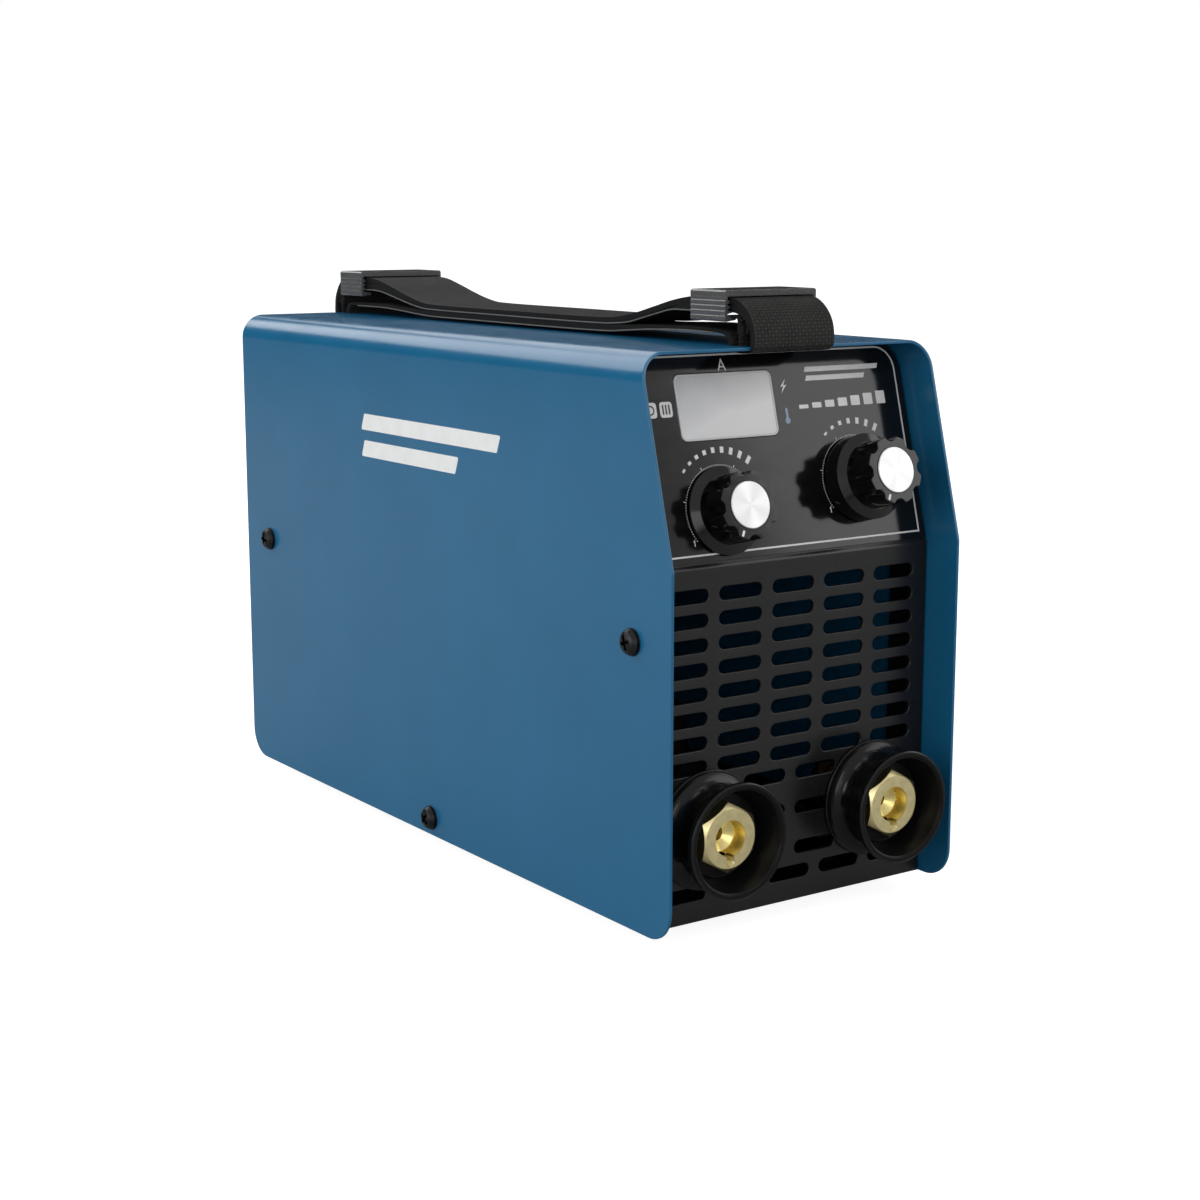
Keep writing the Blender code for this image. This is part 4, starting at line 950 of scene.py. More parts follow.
def grip_outline():
    """Eight lobes, divided by round flutes, with softened corners."""
    flute_r, flute_at, soft = 2.7 * MM, GRIP_R + 0.9 * MM, 0.5 * MM
    points = []
    for step in range(GRIP_STEPS):
        angle = math.tau * step / GRIP_STEPS
        off = (angle + math.pi / 8) % (math.pi / 4) - math.pi / 8
        reach = flute_at * math.sin(off)
        radius = GRIP_R
        if abs(reach) < flute_r:
            flute = flute_at * math.cos(off) - math.sqrt(flute_r**2 - reach**2)
            share = min(1.0, max(0.0, 0.5 + 0.5 * (flute - GRIP_R) / soft))
            radius = flute + (GRIP_R - flute) * share - soft * share * (1 - share)
        points.append((radius * math.cos(angle), radius * math.sin(angle)))
    return points


def build_knob(name, x, up, skirt_h):
    """A conical skirt under a fluted grip, with a spun cap and a pointer."""
    body, origin = f"{name}_dial", leaning(x, up, 0)
    low, skirt_top = 0.5, 0.5 + skirt_h / MM
    grip_top = skirt_top + 12
    skirt = [(3.4, low), (15.2, low), (15.5, low + 0.4), (15.5, skirt_top - 1.3)]
    skirt += [(12.2, skirt_top + 0.1), (3.4, skirt_top + 0.1)]
    top = grip_top * MM
    grip = plate_mesh([grip_outline()], (skirt_top - 0.2) * MM, top, 0.25 * MM, 2)
    seat = plate_mesh([circle(0, 0, CAP_R + 0.15 * MM, 72)], top - 0.7 * MM, top + MM)
    grip = carved(grip, [(seat, *HOME)])
    grip = joined([(turned(skirt, 0.15 * MM, 128), *HOME), (grip, *HOME)])
    piece(f"{name}_grip", grip, "knob", f"{name}_knob", body, origin, LEANING)

    face = grip_top + 0.5
    cap = [(0, face), (7.9, face), (8.1, face - 0.08), (8.2, face - 0.2), (8.3, face - 1.0), (0, face - 1.0)]
    disc = turned(cap, 0.12 * MM, 128)
    piece(f"{name}_disc", disc, "cap", f"{name}_cap", body, origin, LEANING)

    mark = fillet(ray_bar(0, 0, 9.4 * MM, 11.6 * MM, POINTER_AT, 0.9 * MM), 0.3 * MM, 3)
    pointer = plate_mesh([mark], top - 0.1 * MM, top + 0.06 * MM, 0.03 * MM, 1)
    piece(f"{name}_pointer", pointer, "pointer", None, body, origin, LEANING)


# Output sockets ------------------------------------------------------------------------------


COLLAR_TURNS = [math.radians(9 * i) for i in range(11)]


def build_sockets():
    collar = [(18.9, 164.5), (20.4, 164.5), (20.8, 164.1), (20.7, 162.5)]
    collar += [(16.0 + 4.6 * (1 - math.cos(a)), 154.4 + 7.6 * math.sin(a)) for a in COLLAR_TURNS[::-1]]
    collar += [(15.9 + 5.5 * (1 - math.cos(a)), 152.6 - 5.6 * math.sin(a)) for a in COLLAR_TURNS]
    collar += [(21.7, 146.7), (21.7, 145.8), (11.3, 145.8)]
    collar += [(11.3, 141.9), (8.7, 141.9), (8.7, 153.4), (14.9, 153.4), (15.4, 153.9), (17.9, 162.6)]
    collar += [(18.2, 163.9), (18.6, 164.0)]
    shank = [(0, 118), (6, 118), (6, 127.4), (7.6, 127.4), (8.2, 128), (8.2, 154.8), (6.35, 154.8)]
    shank += [(6.35, 153.3), (6.1, 153.0), (2.6, 151.1), (2.9, 150.4), (2.6, 149.7), (2.9, 149.0)]
    shank += [(2.6, 148.3), (2.9, 147.6), (2.6, 146.9), (2.6, 137), (0, 134.5)]
    for name, sign in (("negative", -1), ("positive", 1)):
        place = (sign * SOCKET_X, 0, SOCKET_Z)
        mesh = turned(collar, 0.2 * MM, 144)
        node = f"{name}_socket_collar"
        piece(f"{name}_collar", mesh, "socket", node, place=place, turn=FRONT)
        head, sleeve = insert_meshes(shank)
        node = f"{name}_socket_insert"
        piece(f"{name}_hexagon", head, "brass", node, place=place, turn=FRONT)
        piece(f"{name}_sleeve", sleeve, "bore", place=place, turn=FRONT)


KEY_Y = -8.2 * MM
KEY_AT = Vector((0, KEY_Y, 0))


def key_cutters():
    """Cutters for a ribbed round key slot, and for a keyway that opens it to the bore."""
    thread = [(0, 146)] + [(2.15 if k % 2 else 1.8, 146 + 0.5 * k) for k in range(29)] + [(0, 160)]
    way = rounded_box(0, -6.4 * MM, 3.2 * MM, 3.6 * MM, 0.4 * MM)
    keyway = plate_mesh([way], 146 * MM, 160 * MM)
    return [(lathe_mesh(scaled(thread), 40), KEY_AT, LEVEL), (keyway, *HOME)]


def insert_meshes(shank):
    """The brass insert: a chamfered hexagon with a key slot, and a stepped and threaded sleeve."""
    head = plate_mesh([hexagon(12.75 * MM)], 153.6 * MM, 159.2 * MM, 0.12 * MM, 1)
    cone = [(0, 159.3), (10.5, 159.3), (13.2, 157.3), (13.2, 150), (0, 150)]
    head = carved(head, [(lathe_mesh(scaled(cone), 90), *HOME)], "INTERSECT")
    bore = [(0, 160), (6.9, 160), (6.35, 158.8), (6.35, 150), (0, 150)]
    head = carved(head, [(lathe_mesh(scaled(bore), 72), *HOME)])
    head = carved(head, key_cutters())
    sleeve = lathe_mesh(fillet(scaled(shank), 0.15 * MM, 2, False), 96)
    notch = plate_mesh([circle(0, KEY_Y, 2.1 * MM, 32)], 146 * MM, 160 * MM)
    sleeve = carved(sleeve, [(notch, *HOME)])
    floor = turned([(0, 146.4), (2.6, 146.4), (2.6, 145.6), (0, 145.6)], 0.1 * MM, 32)
    return head, joined([(sleeve, *HOME), (floor, KEY_AT, LEVEL)])


# Handle --------------------------------------------------------------------------------------

BAND_T, TAIL_T, FOLD_T = 2.3 * MM, 2.7 * MM, 4.6 * MM
OUTER_BAND = [
    (-130.5, 201.4), (-130.8, 199.4), (-132.2, 198.35), (-141.2, 198.35), (-142.6, 199.2), (-142.9, 201.2),
    (-142.8, 204.4), (-141.9, 207.7), (-139.9, 210.7), (-137.3, 213.0), (-134.0, 214.7), (-130.3, 215.2),
    (-112, 215.2), (-107, 215.0), (-97, 213.4), (-86, 210.8), (-72, 207.6), (-60, 205.9), (-50, 205.5),
    (10, 205.4), (70, 205.5), (79, 205.8), (88, 207.1), (98.6, 209.4), (112, 212.7), (121.7, 214.7),
    (131, 215.2), (150.0, 215.2), (153.0, 214.4), (156.0, 212.4), (158.3, 209.8), (159.9, 206.9),
    (160.5, 204.0), (160.5, 199.6), (159.3, 198.5), (150.9, 198.5), (149.8, 199.5), (149.4, 201.6),
    (147.6, 203.8), (144.0, 204.5), (116, 204.5), (102, 203.9), (86, 203.1), (75, 202.8), (52, 202.75),
    (0, 202.75), (-46, 202.75), (-57, 202.8), (-70, 203.5), (-84, 204.3), (-107, 204.9), (-124.0, 204.6),
    (-128.8, 203.6),
]
FRONT_TAIL = [
    (-139.4, 204.6), (-140.1, 206.8), (-139.2, 209.3), (-137.0, 211.4), (-134, 212.45), (-131, 212.65),
    (-112, 212.65), (-106, 212.5), (-100, 211.9), (-94, 211.0),
]
REAR_TAIL = [
    (96, 207.2), (102, 208.6), (112, 210.6), (121.7, 212.2), (131, 212.65),
    (149.5, 212.65), (152.2, 212.0), (154.8, 210.4), (156.6, 208.2), (157.1, 205.6), (156.0, 204.6),
]
FRONT_FOLD = [(-135.9, 199.9), (-136.0, 202.0), (-136.0, 205.0), (-135.4, 208.0), (-134.6, 210.6)]
REAR_FOLD = [(154.6, 200.2), (154.8, 202.0), (154.7, 205.0), (154.0, 208.0), (153.0, 210.2)]
FRONT_TUCK = [(-128.2, 210.1), (-131.0, 210.0), (-134.0, 209.8), (-137.2, 208.6)]
# Painted highlights: light grey cords along the lower edges of the upper layers, and of the lower band,
# standing in for the light lines on the webbing's edges
UPPER_HIGHLIGHT_CORD = [
    (-131, 211.4), (-108, 211.3), (-96, 211.1), (-89, 209.7), (-79, 207.5), (-70, 205.6), (-60, 204.7),
    (-50, 204.4), (32, 204.4), (69, 204.5), (80, 204.7), (87, 205.4), (98, 207.2), (109, 209.2),
    (116, 210.4), (122, 211.0), (131, 211.1), (149.5, 211.4),
]
LOWER_HIGHLIGHT_CORD = [
    (-121, 204.0), (-107, 204.2), (-84, 203.5), (-65, 202.2), (-57, 201.7), (52, 201.6), (75, 201.7),
    (86, 202.2), (102, 203.2), (116, 203.8), (140, 203.8),
]


def band_share(spot, tangent, from_end, closed):
    """The share of a band's full thickness that it keeps at a spot."""
    if not closed:
        return min(1.0, max(0.3, from_end / 7))
    share = min(1.0, max(0.32, (spot.y - 197.8 * MM) / (2.6 * MM)))
    if tangent.x < -0.9:
        inside = min(1.0, max(0.0, (min(spot.x + 92 * MM, 104 * MM - spot.x)) / (34 * MM)))
        lower = 0.5 + 0.7 * inside
        share = min(share, lower) if inside < 0.7 else lower
    return share


def band_mesh(points, thickness, closed):
    """Webbing along a side-view path, ribbed across its width, with smooth selvedges.

    It is pressed flat where it passes under the cover's sheet, and at its cut ends.
    """
    samples, columns, rim_from, half = 4, 14, 0.93, STRAP_W / 2
    path, total = smooth_path(scaled(points), WEAVE_PITCH / samples, closed)
    count = len(path)
    spans = count if closed else count - 1
    shape = bmesh.new()
    weave = shape.loops.layers.uv.new("weave")
    rows = []
    for index, spot in enumerate(path):
        before = path[index - 1] if closed or index else spot
        after = path[(index + 1) % count] if closed or index < count - 1 else spot
        tangent = (after - before).normalized()
        normal = Vector((-tangent.y, tangent.x))
        rib = 0.05 * MM * math.sin(math.tau * index / samples)
        out_half = band_share(spot, tangent, min(index, count - 1 - index) / samples, closed) * thickness / 2
        row = []
        for side in (1, -1):
            for column in range(columns + 1):
                share = column / columns if side > 0 else 1 - column / columns
                across = 2 * share - 1
                rim = abs(across) > rim_from
                cord = 0.012 * MM if column % 2 else -0.012 * MM
                out = out_half * (0.94 if rim else 1.0) + (0 if rim else side * rib + cord)
                place = spot + normal * (side * out)
                row.append(shape.verts.new((across * (half - 0.12 * MM), place.x, place.y)))
            row.append(shape.verts.new((side * half, spot.x, spot.y)))
        rows.append(row)
    for index in range(spans):
        one, two = rows[index], rows[(index + 1) % count]
        for k in range(len(one)):
            after = (k + 1) % len(one)
            corners = (one[k], one[after], two[after], two[k])
            face = shape.faces.new(corners)
            for loop, vert, step in zip(face.loops, corners, (index, index, index + 1, index + 1)):
                loop[weave].uv = (step * total / spans, vert.co.x + half)
    if not closed:
        shape.faces.new(rows[0])
        shape.faces.new(rows[-1][::-1])
    bmesh.ops.recalc_face_normals(shape, faces=shape.faces)
    return as_mesh(shape)


def highlight_cord_mesh(points, radius):
    """A round light grey cord along both sides of the strap: a painted highlight on the webbing's edge."""
    path = smooth_path(scaled(points), 1.5 * MM, False)[0]
    section = circle(0, 0, radius, 8)
    shape = bmesh.new()
    for edge in (-1, 1):
        rings = []
        for index, spot in enumerate(path):
            ahead = path[min(index + 1, len(path) - 1)] - path[max(index - 1, 0)]
            normal = Vector((-ahead.y, ahead.x)).normalized()
            middle = edge * (STRAP_W / 2 - 0.15 * MM)
            spots = [(middle + across, spot + normal * out) for across, out in section]
            rings.append([shape.verts.new((x, place.x, place.y)) for x, place in spots])
        for one, two in zip(rings, rings[1:]):
            for k in range(len(one)):
                after = (k + 1) % len(one)
                shape.faces.new((one[k], one[after], two[after], two[k]))
        shape.faces.new(rings[0])
        shape.faces.new(rings[-1])
    return mesh_from(shape)


def build_strap():
    bands = {
        "strap_outer_band": (OUTER_BAND, BAND_T),
        "strap_front_tail": (FRONT_TAIL, TAIL_T),
        "strap_rear_tail": (REAR_TAIL, TAIL_T),
        "strap_front_fold": (FRONT_FOLD, FOLD_T),
        "strap_rear_fold": (REAR_FOLD, FOLD_T),
        "strap_front_tuck": (FRONT_TUCK, BAND_T),
    }
    for name, (points, thickness) in bands.items():
        closed = name == "strap_outer_band"
        node = "strap_webbing" if closed else None
        piece(name, band_mesh(points, thickness, closed), "webbing", node)
    for name, points in (("strap_upper_highlight", UPPER_HIGHLIGHT_CORD), ("strap_lower_highlight", LOWER_HIGHLIGHT_CORD)):
        piece(name, highlight_cord_mesh(points, 0.3 * MM), "thread")


def clip_outline():
    """Front view of a keeper: a top plate, and two ribbed walls that hook in under the webbing."""
    half, wall, rib, first_z, pitch = 20.5, 1.2, 0.95, 215.6, 1.75
    ribs = [(half - wall, 216.8)]
    for index in range(3):
        z = first_z - pitch * index
        ribs += [(half - wall, z), (half - wall - rib, z - 0.3)]
        ribs += [(half - wall - rib, z - 1.1), (half - wall, z - 1.4)]
    hook = [(half - wall, 210.2), (15.5, 209.9), (15.5, 208.7), (half - 0.6, 208.2), (half, 208.8)]
    for z in (210.4, 212.15, 213.9, 215.65):
        hook += [(half, z - 0.45), (half - 0.2, z), (half, z + 0.45)]
    side = ribs + hook + [(half, 218.4), (half - 0.6, 219)]
    return fillet(scaled(side + mirrored(side)), 0.22 * MM, 3)


def build_clips():
    for name, y in (("front", -120.9 * MM), ("rear", 141.2 * MM)):
        half = 9.9 * MM
        mesh = plate_mesh([clip_outline()], -half, half, 0.16 * MM, 2)
        node = f"strap_clip_{name}"
        piece(f"keeper_{name}", mesh, "smoke", node, place=(0, y, 0), turn=FRONT)


# Rear ----------------------------------------------------------------------------------------

FAN_Z, FAN_HOLE, FAN_SIZE = 72 * MM, 41.25 * MM, 92 * MM
SWITCH_X, INLET_X, ROW_Z = -30 * MM, 24 * MM, 160 * MM
EARTH_X, EARTH_Z = 48 * MM, 133 * MM


def fan_holes():
    return [(x, FAN_Z + z) for x in (-FAN_HOLE, FAN_HOLE) for z in (-FAN_HOLE, FAN_HOLE)]


def build_rear_panel():
    top = CASE_H - SHEET - 0.4 * MM
    loops = [arched(FLANGE_X, 0.2 * MM, top, PANEL_CORNER_R, 8), circle(0, FAN_Z, 42.5 * MM, 96)]
    loops += [circle(x, z, SCREW_HOLE_R, 24) for x, z in fan_holes()]
    loops.append(rounded_box(-SWITCH_X, ROW_Z, 22 * MM, 28 * MM, 0.8 * MM, 3))
    loops.append(rounded_box(-INLET_X, ROW_Z, 28 * MM, 20.5 * MM, 0.8 * MM, 3))
    loops.append(circle(-EARTH_X, EARTH_Z, 3.4 * MM, 32))
    plate = plate_mesh(loops, 0, PANEL_T, 0.28 * MM, 2)
    ear = fillet(scaled([(128, 18), (145, 18), (145, 185), (128, 185)]), 1.5 * MM, 3)
    mesh = joined([(plate, (0, REAR_Y, 0), REAR)] + ears(ear, "rear"))
    piece("rear_plate", mesh, "panel", "rear_panel")


def build_guard():
    """The pressed finger guard, with a domed boss in its middle."""
    loops = [rounded_box(0, FAN_Z, FAN_SIZE, FAN_SIZE, 6 * MM, 8)]
    loops += [circle(x, z, SCREW_HOLE_R, 24) for x, z in fan_holes()]
    ring_pitch, wire, first = 8 * MM, 2.2 * MM, 10 * MM
    for ring in range(4):
        inner = first + ring * ring_pitch
        outer = inner + ring_pitch - wire
        margin = math.degrees(wire / inner)
        for quarter in range(4):
            start, end = 90 * quarter + 45 + margin, 90 * quarter + 135 - margin
            steps = 12 + 5 * ring
            loop = arc(0, FAN_Z, outer, start, end, steps) + arc(0, FAN_Z, inner, end, start, steps)
            loops.append(fillet(loop, 1.4 * MM, 3))
    mesh = plate_mesh(loops, 0, SHEET, 0.35 * MM, 2)
    place = (0, REAR_FACE + 0.3 * MM, 0)
    piece("finger_guard", mesh, "chassis", "fan_guard", place=place, turn=REAR)
    boss = turned([(0, 1.1), (4, 1.0), (7, 0.5), (7.6, 0), (0, 0)], 0.4 * MM, 64)
    place = (0, REAR_FACE + 0.3 * MM + SHEET, FAN_Z)
    piece("guard_boss", boss, "chassis", place=place, turn=REAR)
    names = ("right_low", "right_high", "left_low", "left_high")
    for index, (name, (x, z)) in enumerate(zip(names, fan_holes())):
        screw = screw_mesh(3.7 * MM, 2.5 * MM, 1.9 * MM, 27 * MM, 4.2 * MM)
        turn = REAR @ Matrix.Rotation(math.radians(11 + 23 * index), 3, "Z")
        place = (x, REAR_FACE + 0.3 * MM + SHEET, z)
        node = f"fan_screw_{name}"
        piece(f"guard_screw_{name}", screw, "screw", node, place=place, turn=turn)


def blade_mesh(hub_r, tip_r):
    """One swept and cambered blade about local Z, between two radii."""
    shape = bmesh.new()
    radial, chordal = 12, 10
    grid = []
    for i in range(radial + 1):
        share = i / radial
        radius = hub_r - 0.6 * MM + (tip_r - hub_r + 0.6 * MM) * share
        chord = (19 + 6 * share) * MM
        pitch = math.radians(46 - 17 * share)
        row = []
        for k in range(chordal + 1):
            c = k / chordal - 0.5
            camber = 1.8 * MM * (1 - 4 * c * c)
            tangential = chord * c * math.cos(pitch) + camber * math.sin(pitch)
            axial = chord * c * math.sin(pitch) - camber * math.cos(pitch)
            angle = tangential / radius + 0.16 * share * share
            row.append(shape.verts.new((radius * math.cos(angle), radius * math.sin(angle), axial)))
        grid.append(row)
    for i in range(radial):
        for k in range(chordal):
            shape.faces.new((grid[i][k], grid[i + 1][k], grid[i + 1][k + 1], grid[i][k + 1]))
    bmesh.ops.recalc_face_normals(shape, faces=shape.faces)
    blade = shown("blade", as_mesh(shape))
    thick = blade.modifiers.new("Thick", "SOLIDIFY")
    thick.thickness = 1.3 * MM
    thick.offset = 0
    return settled(blade)


def joint_place(name):
    joint = next(j for j in frame["joints"] if j["name"] == name)
    return Vector(joint["pos_m"]) - CASE


def build_rotor():
    centre = joint_place("fan_spin")
    low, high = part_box("fan_rotor")
    bottom, top = 3.7, (high.y - low.y) / MM + 0.4
    hub = [(0, top - 0.4), (5.5, top - 0.4), (6, top), (15.6, top), (17, top - 1.6), (17, bottom)]
    hub += [(2, bottom), (2, 0.5), (0, 0.5)]
    parts = [(turned(hub, 0.5 * MM, 72), *HOME)]
    middle = Vector((0, 0, (bottom + top) / 2 * MM))
    for index in range(7):
        spin = Matrix.Rotation(math.tau * index / 7, 3, "Z")
        parts.append((blade_mesh(17 * MM, 41.6 * MM), middle, spin))
    place = (centre.x, low.y - CASE.y - 0.4 * MM, centre.z)
    piece("fan_blades", joined(parts), "fan", "fan_rotor", "fan_wheel", place, REAR)


def sunk_shell(face, face_h, face_edge, body, well, floor, back):
    """A panel module: its flange, the walls of its well down to a floor, and its closed back."""
    walls = 0.4 * MM
    parts = [
        plate_mesh(face, 0.3 * MM, face_h, face_edge, 3),
        plate_mesh([body, well], floor, walls, 0.1 * MM, 1),
        plate_mesh([body], back, floor + 0.1 * MM, 0.3 * MM, 2),
    ]
    return joined([(part, *HOME) for part in parts])


def build_switch():
    hole = rounded_box(0, 0, 19 * MM, 25 * MM, 0.8 * MM, 4)
    well = rounded_box(0, 0, 19 * MM, 25 * MM, 0.5 * MM, 3)
    bezel = [rounded_box(0, 0, 25 * MM, 31 * MM, 2.4 * MM, 6), hole]
    body = rounded_box(0, 0, 21.4 * MM, 27.4 * MM, 0.6 * MM, 3)
    mesh = sunk_shell(bezel, 2.3 * MM, 0.55 * MM, body, well, -8 * MM, -18.5 * MM)
    place = (SWITCH_X, REAR_FACE, ROW_Z)
    node = "power_switch_housing"
    piece("switch_bezel", mesh, "switch", node, place=place, turn=REAR)

    section = [(-1, -11.2), (2.9, -11.4), (3.3, -10.4), (1.9, -3), (1.6, 0), (1.9, 3), (3.3, 10.4)]
    section += [(2.9, 11.4), (-1, 11.2), (-5.5, 4.5), (-5.5, -4.5)]
    rocker = plate_mesh([fillet(scaled(section), 0.9 * MM, 4)], -9.1 * MM, 9.1 * MM, 0.45 * MM, 3)
    pivot = joint_place("power_switch")
    tilt = Matrix.Rotation(-math.radians(10), 3, "X")
    slot, body = "rocker_red", "power_rocker"
    piece("rocker_cap", rocker, "rocker", "power_switch_rocker", body, pivot, tilt @ SIDE)

    lean = math.atan2(1.4, 7.4)
    bar = [rounded_box(0, 0, 0.9 * MM, 4.6 * MM, 0.3 * MM, 3)]
    ring = stroke(circle(0, 0, 2.0 * MM, 40), 0.8 * MM, True)
    marks = []
    for sign, loops in ((1, bar), (-1, ring)):
        mark = plate_mesh(loops, -0.1 * MM, 0.12 * MM, 0.03 * MM, 1)
        turn = Matrix.Rotation(sign * lean, 3, "X") @ REAR
        marks.append((mark, Vector((0, 2.62 * MM, sign * 6.8 * MM)), turn))
    piece("rocker_marks", joined(marks), "pointer", None, body, pivot, tilt)


def build_inlet():
    well = rounded_box(0, 0, 24 * MM, 16.4 * MM, 3 * MM, 6)
    flange = [rounded_box(0, 0, 48 * MM, 25 * MM, 6 * MM, 8), well]
    flange += [circle(sign * 19.4 * MM, 0, 1.8 * MM, 28) for sign in (-1, 1)]
    body = rounded_box(0, 0, 27.2 * MM, 19.7 * MM, 3.4 * MM, 6)
    mesh = sunk_shell(flange, 2.8 * MM, 0.5 * MM, body, well, -15 * MM, -23 * MM)
    place = (INLET_X, REAR_FACE, ROW_Z)
    piece("inlet_shell", mesh, "switch", "mains_inlet", place=place, turn=REAR)
    pins = []
    for x, z in ((-7, -1.5), (7, -1.5), (0, 3)):
        pin = box_mesh((2 * MM, 4 * MM, 13 * MM), 0.35 * MM)
        pins.append((pin, Vector((x * MM, z * MM, -9 * MM)), LEVEL))
    piece("inlet_pins", joined(pins), "steel", place=place, turn=REAR)
    for side, sign in SIDES:
        screw = screw_mesh(2.7 * MM, 1.5 * MM, 1.4 * MM, 6 * MM, 3 * MM)
        spot = (INLET_X + sign * 19.4 * MM, REAR_FACE + 2.8 * MM, ROW_Z)
        turn = REAR @ Matrix.Rotation(math.radians(40 * sign), 3, "Z")
        piece(f"inlet_screw_{side}", screw, "screw", place=spot, turn=turn)


def build_earth_bolt():
    """A chamfered hexagon head on a spring washer, a plain washer and a shank."""
    head = plate_mesh([hexagon(5.7 * MM)], 2.0 * MM, 6.1 * MM, 0.1 * MM, 1)
    cone = lathe_mesh(scaled([(0, 6.2), (4.9, 6.2), (5.9, 5.5), (5.9, 1), (0, 1)]), 64)
    head = carved(head, [(cone, *HOME)], "INTERSECT")
    washer = turned([(6.5, 1.5), (6.5, 0.2), (3.2, 0.2), (3.2, 1.5)], 0.2 * MM, 64)
    spring = turned([(5.0, 2.1), (5.0, 1.45), (3.1, 1.45), (3.1, 2.1)], 0.15 * MM, 64)
    shank = turned([(0, 2.2), (3, 2.2), (3, -14), (2.4, -15), (0, -15)], 0.2 * MM, 40)
    mesh = joined([(part, *HOME) for part in (head, washer, spring, shank)])
    place = (EARTH_X, REAR_FACE, EARTH_Z)
    piece("ground_bolt", mesh, "steel", "earth_bolt", place=place, turn=REAR)


# CAD pieces that keep their shape ------------------------------------------------------------


def refine(node, finish, bevel):
    """Gives a CAD node rounded edges and a finish."""
    obj = frame["nodes"][node]
    for slot in obj.material_slots:
        slot.material = finishes[finish]
    obj.modifiers.new("Weld", "WELD").merge_threshold = 1e-5
    edges = obj.modifiers.new("Edges", "BEVEL")
    edges.width = bevel
    edges.segments = 2
    edges.limit_method = "ANGLE"
    edges.angle_limit = math.radians(40)
    obj.modifiers.new("Weigh", "WEIGHTED_NORMAL")


# A finish, the radius of the rounded edges in millimetres, and the nodes that have them
KEPT = (
    ("chassis", 0.25, "base_chassis"),
    ("module", 0.2, "display_module"),
    ("module", 0.4, "bridge_rectifier soft_start_relay"),
    ("board", 0.15, "control_board power_board"),
    ("steel", 0.2, "arc_force_potentiometer current_potentiometer"),
    ("steel", 0.25, "arc_force_shaft current_shaft negative_socket_nut positive_socket_nut"),
    ("copper", 0.2, "negative_busbar positive_busbar"),
    ("fan", 0.4, "fan_frame"),
    ("sink", 0.2, "rectifier_heat_sink switch_heat_sink"),
    ("ferrite", 0.5, "transformer_core"),
    ("ferrite", 0.4, "mains_filter_choke"),
    ("tape", 0.4, "transformer_winding"),
    ("coil", 0.3, "output_choke"),
    ("sleeve", 0.3, "bulk_capacitor_1 bulk_capacitor_2 bulk_capacitor_3"),
)


# Studio --------------------------------------------------------------------------------------


# Softboxes: azimuth from the front towards +X, height, distance, width, height, radiance
LIGHTS = (
    ("front_right", 63, 20, 2.6, 2.3, 2.0, 1.45),
    ("rear_left", -150, 36, 2.6, 2.8, 1.3, 2.9),
    ("rear_right", 150, 36, 2.6, 1.6, 1.2, 1.8),
    ("left", -88, 14, 2.4, 2.0, 1.7, 2.3),
    ("front_low", -20, 8, 2.6, 1.2, 1.2, 1.3),
    ("overhead", 0, 88, 2.4, 1.8, 1.8, 1.0),
)


def build_sky():
    """Pale to the front and dim to the rear, and white where the camera sees it."""
    world = bpy.data.worlds.new("studio")
    bpy.context.scene.world = world
    world.use_nodes = True
    sky = Nodes(world.node_tree)
    way = sky.put("SeparateXYZ", sky.put("TexCoord").outputs["Generated"]).outputs[1]
    shade = sky.ramp(sky.math("MULTIPLY_ADD", way, -0.5, 0.5), (0.25, 0.02), (0.8, 0.6))
    seen = sky.put("LightPath").outputs["Is Camera Ray"]
    sky.fill(sky.tree.nodes["Background"].inputs["Color"], sky.mix(seen, shade, (1, 1, 1)))


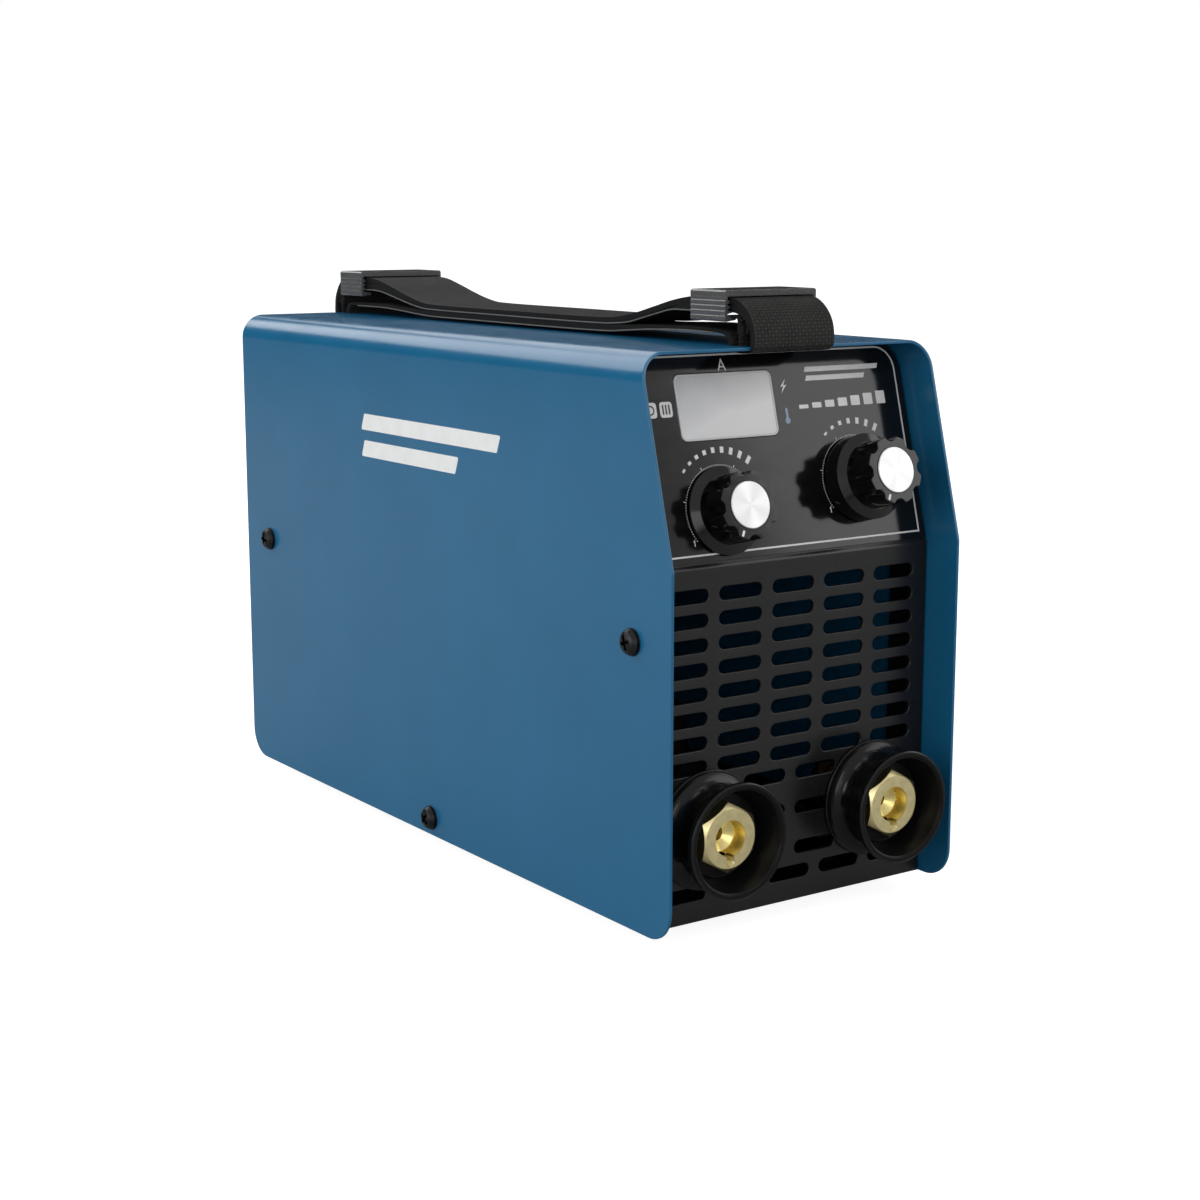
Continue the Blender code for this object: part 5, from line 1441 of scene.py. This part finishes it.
def build_lights():
    aim = Vector((0, 0, 0.1))
    for name, azimuth, height, distance, width, tall, radiance in LIGHTS:
        light = bpy.data.lights.new(name, "AREA")
        light.shape = "RECTANGLE"
        light.size = width
        light.size_y = tall
        light.energy = radiance * math.pi * width * tall
        lamp = shown(name, light)
        turn, lift = math.radians(azimuth), math.radians(height)
        level = math.cos(lift)
        away = Vector((math.sin(turn) * level, -math.cos(turn) * level, math.sin(lift)))
        lamp.location = aim + away * distance
        lamp.rotation_euler = (-away).to_track_quat("-Z", "Y").to_euler()
        lamp.visible_camera = False


def build_floor():
    """A near-white sweep that keeps only a faint contact shadow."""
    reach = 12.0
    corners = [(-reach, -reach, 0), (reach, -reach, 0), (reach, reach, 0), (-reach, reach, 0)]
    mesh = bpy.data.meshes.new("floor")
    mesh.from_pydata(corners, [], [(0, 1, 2, 3)])
    shown("floor", mesh)
    made = Finish("floor", (0.45, 0.45, 0.45), roughness=0.9, specular_ior_level=0.1)
    place = made.put("NewGeometry").outputs["Position"]
    distance = made.put("VectorMath", place, operation="LENGTH").outputs["Value"]
    white = made.put("MapRange", distance, 0.22, 0.7, 0.9, 1.0).outputs[0]
    seen = made.put("LightPath").outputs["Is Camera Ray"]
    made.set("Emission Color", (1, 1, 1, 1))
    made.set("Emission Strength", made.math("MULTIPLY", seen, white))
    mesh.materials.append(made.material)


def build_camera():
    camera = bpy.data.cameras.new("camera")
    camera.lens = 63.34
    camera.sensor_width = 36
    camera.clip_start = 0.05
    view = shown("camera", camera)
    view.location = CASE + Vector((-0.4726, -0.7091, 0.2466))
    aim = CASE + Vector((0.0177, 0, 0.0868)) - view.location
    view.rotation_euler = aim.to_track_quat("-Z", "Y").to_euler()
    bpy.context.scene.camera = view


build_cover()
build_side_mark()
build_side_screws()
build_feet()
build_front_panel()
build_label()
build_prints()
for knob, (knob_x, knob_up, knob_skirt) in KNOBS.items():
    build_knob(knob, knob_x, knob_up, knob_skirt)
build_sockets()
build_strap()
build_clips()
build_rear_panel()
build_guard()
build_rotor()
build_switch()
build_inlet()
build_earth_bolt()
for kept_finish, kept_bevel, kept_nodes in KEPT:
    for kept_node in kept_nodes.split():
        refine(kept_node, kept_finish, kept_bevel * MM)
bpy.context.scene.view_settings.view_transform = "Standard"
build_sky()
build_lights()
build_floor()
build_camera()
